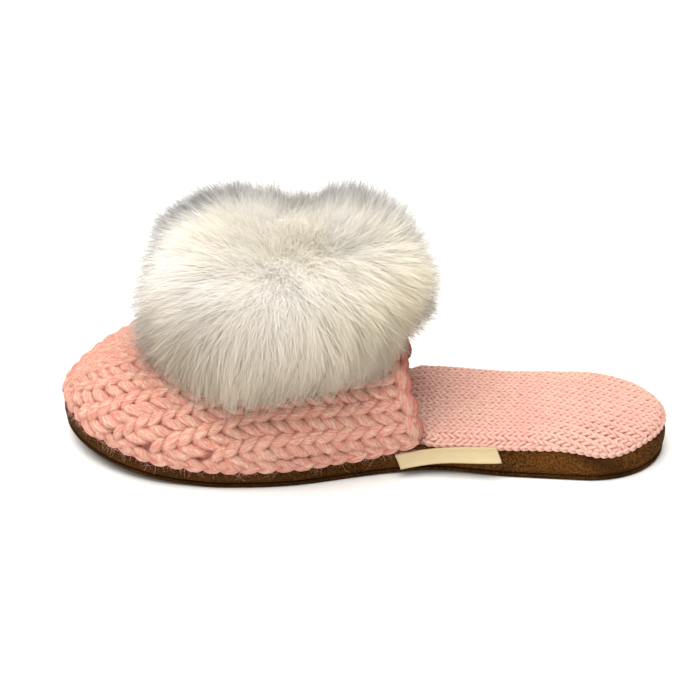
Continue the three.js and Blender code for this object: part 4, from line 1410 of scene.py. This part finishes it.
class SlipperSettings(bpy.types.PropertyGroup):
    """Sizes, counts and light that a user would change."""

    yarn: length("Bulky yarn radius", 0.00228, "Half the thickness of the vamp's yarn")
    course: length("Bulky course", 0.0067, "From one row of the vamp's stitches to the next")
    edge: length("Edge braid", 0.0050, "Height kept free for the braid round the foot")
    edge_link: length("Edge link", 0.0074, "Length of one link of the edge braid")
    collar: length("Collar edge", 0.0078, "Width of the bound-off edge")
    collar_link: length("Collar link", 0.0115, "Length of one stitch of the bound-off edge")
    fine_yarn: length("Fine yarn radius", 0.00084, "Half the thickness of the insole's yarn")
    fine_course: length("Fine course", 0.00265, "From one row of the insole's knit to the next")
    fine_wale: length("Fine wale", 0.00508, "Width of one column of the insole's knit")
    pucker: share("Suede pucker", 1.0, 2, "How much the suede's side waves")
    hair: length("Hair width", 0.00019, "Width of one hair of the pompom at its root")
    hairs: number("Hairs", 96000, "Number of hairs in the pompom")
    locks: number("Locks", 1700, "Number of small locks that the hairs gather in")
    fluff: share("Fluff", 0.14, 1, "How far hairs stand out past the tufts")
    drape: share("Drape", 0.8, 2, "How far the hairs lie down")
    fibre: length("Fibre length", 0.0019, "Mean length of the loose fibres on the knit")
    fibres: number("Fibres", 13000, "Number of loose fibres on the knit")
    key: bpy.props.FloatProperty(name="Key light", default=25.0, subtype="POWER",
                                 description="Power of the light from above")
    room: share("Room light", 0.55, 10, "Strength of the light from all round")


class SlipperColours(bpy.types.PropertyGroup):
    """Colours of the slipper's materials."""

    chunky: colour("Vamp", (0.925, 0.388, 0.315), "Bulky knit of the vamp")
    fine: colour("Insole", (0.66, 0.38, 0.33), "Fine knit of the insole")
    suede: colour("Suede", (0.048, 0.0185, 0.0036), "Side of the sole")
    fur: colour("Fur", (0.925, 0.91, 0.885), "Pompom")
    tape: colour("Label", (0.60, 0.48, 0.285), "Blank label")


def chunky_paints(pink):
    """The vamp's materials: its yarn, a lining in a darker pink of painted shade with the knit's
    bars as a product of two sines, and loose fibres that are paler at their tips."""
    lining = Paint("knit_shaded_lining")
    spot = lining.position()
    x, y, z = lining.split(spot)
    bars = lining.sin(x * (2 * np.pi / 6.7)) * lining.sin((y + z) * (2 * np.pi / 5.8))
    mottle = lining.noise(spot, 0.5, 3.0, 0.6)
    tone = lining.ramp(bars * 0.25 + mottle, 0.2, 0.8)
    # Painted shade: the lining and the ropes' cores are a darker pink, for the shade behind and
    # between the stitches.
    base = lining.mix(tone, shade(pink, 0.42), shade(pink, 0.72))
    inner = lining.finish(base, 0.95, lining.bump(bars * 0.6 + mottle * 0.4, 1.0), sheen=0.1)
    fuzz = Paint("knit_halo")
    glow = fuzz.mix(fuzz.mark("along"), shade(pink, 1.02), shade((1.0, 0.72, 0.66), 0.92))
    fibres = fuzz.finish(glow, 0.9, None, sheen=0.1, through=0.45)
    return {"chunky": yarn_paint("knit_chunky_pink", pink, 22.0, 1.0, 3.2, 2.0),
            "lining": inner, "halo": fibres}


def mottled_paint(name, colour, low, high, clouds):
    """A plain backing: noise between two shares of a colour."""
    paint = Paint(name)
    mottle = paint.noise(paint.position(), clouds, 3.0, 0.6)
    return paint.finish(paint.mix(mottle, shade(colour, low), shade(colour, high)), 0.95, None)


def base_of(context):
    """The scene's two groups of properties."""
    return context.scene.slipper_settings, context.scene.slipper_colours


class SLIPPER_OT_stage(bpy.types.Operator):
    """Adds the floor, the lights and the camera"""

    bl_idname = "slipper.stage"
    bl_label = "Stage"

    def execute(self, context):
        stage(base_of(context)[0])
        return {"FINISHED"}


class SLIPPER_OT_sole(bpy.types.Operator):
    """Builds the suede side and bottom"""

    bl_idname = "slipper.sole"
    bl_label = "Sole"

    def execute(self, context):
        settings, colours = base_of(context)
        suede = tuple(colours.suede)
        paint = {"side": suede_paint("suede_side", suede),
                 "bottom": suede_paint("suede_outsole", shade(suede, 0.72)[:3])}
        sole(paint, settings)
        return {"FINISHED"}


class SLIPPER_OT_insole(bpy.types.Operator):
    """Builds the padded insole and its fine knit cover"""

    bl_idname = "slipper.insole"
    bl_label = "Insole"

    def execute(self, context):
        settings, colours = base_of(context)
        pink = tuple(colours.fine)
        paint = {"fine": yarn_paint("knit_fine_pink", pink, 9.0, 2.6, 0.4, 1.45),
                 # Painted shade: the pad under the knit is a darker pink, for the shade between the
                 # stitches.
                 "under": mottled_paint("knit_fine_shaded_under", pink, 0.4, 0.6, 0.9)}
        insole(paint, settings)
        return {"FINISHED"}


class SLIPPER_OT_vamp(bpy.types.Operator):
    """Builds the bulky knit vamp with its lining, edge braid, bound-off collar and halo"""

    bl_idname = "slipper.vamp"
    bl_label = "Vamp"

    def execute(self, context):
        settings, colours = base_of(context)
        paint = chunky_paints(tuple(colours.chunky))
        cloth = vamp_knit(paint, settings)
        vamp_lining(paint, settings)
        edge_braid(paint, settings)
        collar_edge(paint, settings, cloth)
        halo(paint, settings, cloth)
        return {"FINISHED"}


class SLIPPER_OT_pompom(bpy.types.Operator):
    """Builds the fur pompom"""

    bl_idname = "slipper.pompom"
    bl_label = "Pompom"

    def execute(self, context):
        settings, colours = base_of(context)
        white = tuple(colours.fur)
        paint = {"fur": fur_paint("fur_white", white),
                 "hide": mottled_paint("fur_hide", white, 0.86, 0.98, 0.6)}
        pompom(paint, settings)
        return {"FINISHED"}


class SLIPPER_OT_label(bpy.types.Operator):
    """Builds the blank side label"""

    bl_idname = "slipper.label"
    bl_label = "Label"

    def execute(self, context):
        _, colours = base_of(context)
        label({"tape": tape_paint("label_cream", tuple(colours.tape))})
        return {"FINISHED"}


class SLIPPER_PT_panel(bpy.types.Panel):
    """Lists the slipper's builders"""

    bl_idname = "SLIPPER_PT_panel"
    bl_label = "Pom Pom Slipper"
    bl_space_type = "VIEW_3D"
    bl_region_type = "UI"
    bl_category = "Slipper"

    def draw(self, context):
        for builder in BUILDERS:
            self.layout.operator(builder.bl_idname)
        for group in base_of(context):
            for name in group.__annotations__:
                self.layout.prop(group, name)


BUILDERS = (SLIPPER_OT_stage, SLIPPER_OT_sole, SLIPPER_OT_insole, SLIPPER_OT_vamp,
            SLIPPER_OT_pompom, SLIPPER_OT_label)
CLASSES = (SlipperSettings, SlipperColours, *BUILDERS, SLIPPER_PT_panel)


def register():
    for cls in CLASSES:
        bpy.utils.register_class(cls)
    bpy.types.Scene.slipper_settings = bpy.props.PointerProperty(type=SlipperSettings)
    bpy.types.Scene.slipper_colours = bpy.props.PointerProperty(type=SlipperColours)


def unregister():
    del bpy.types.Scene.slipper_settings
    del bpy.types.Scene.slipper_colours
    for cls in reversed(CLASSES):
        bpy.utils.unregister_class(cls)


def main():
    register()
    for name in ("stage", "sole", "insole", "vamp", "pompom", "label"):
        getattr(bpy.ops.slipper, name)()


if __name__ == "__main__":
    main()
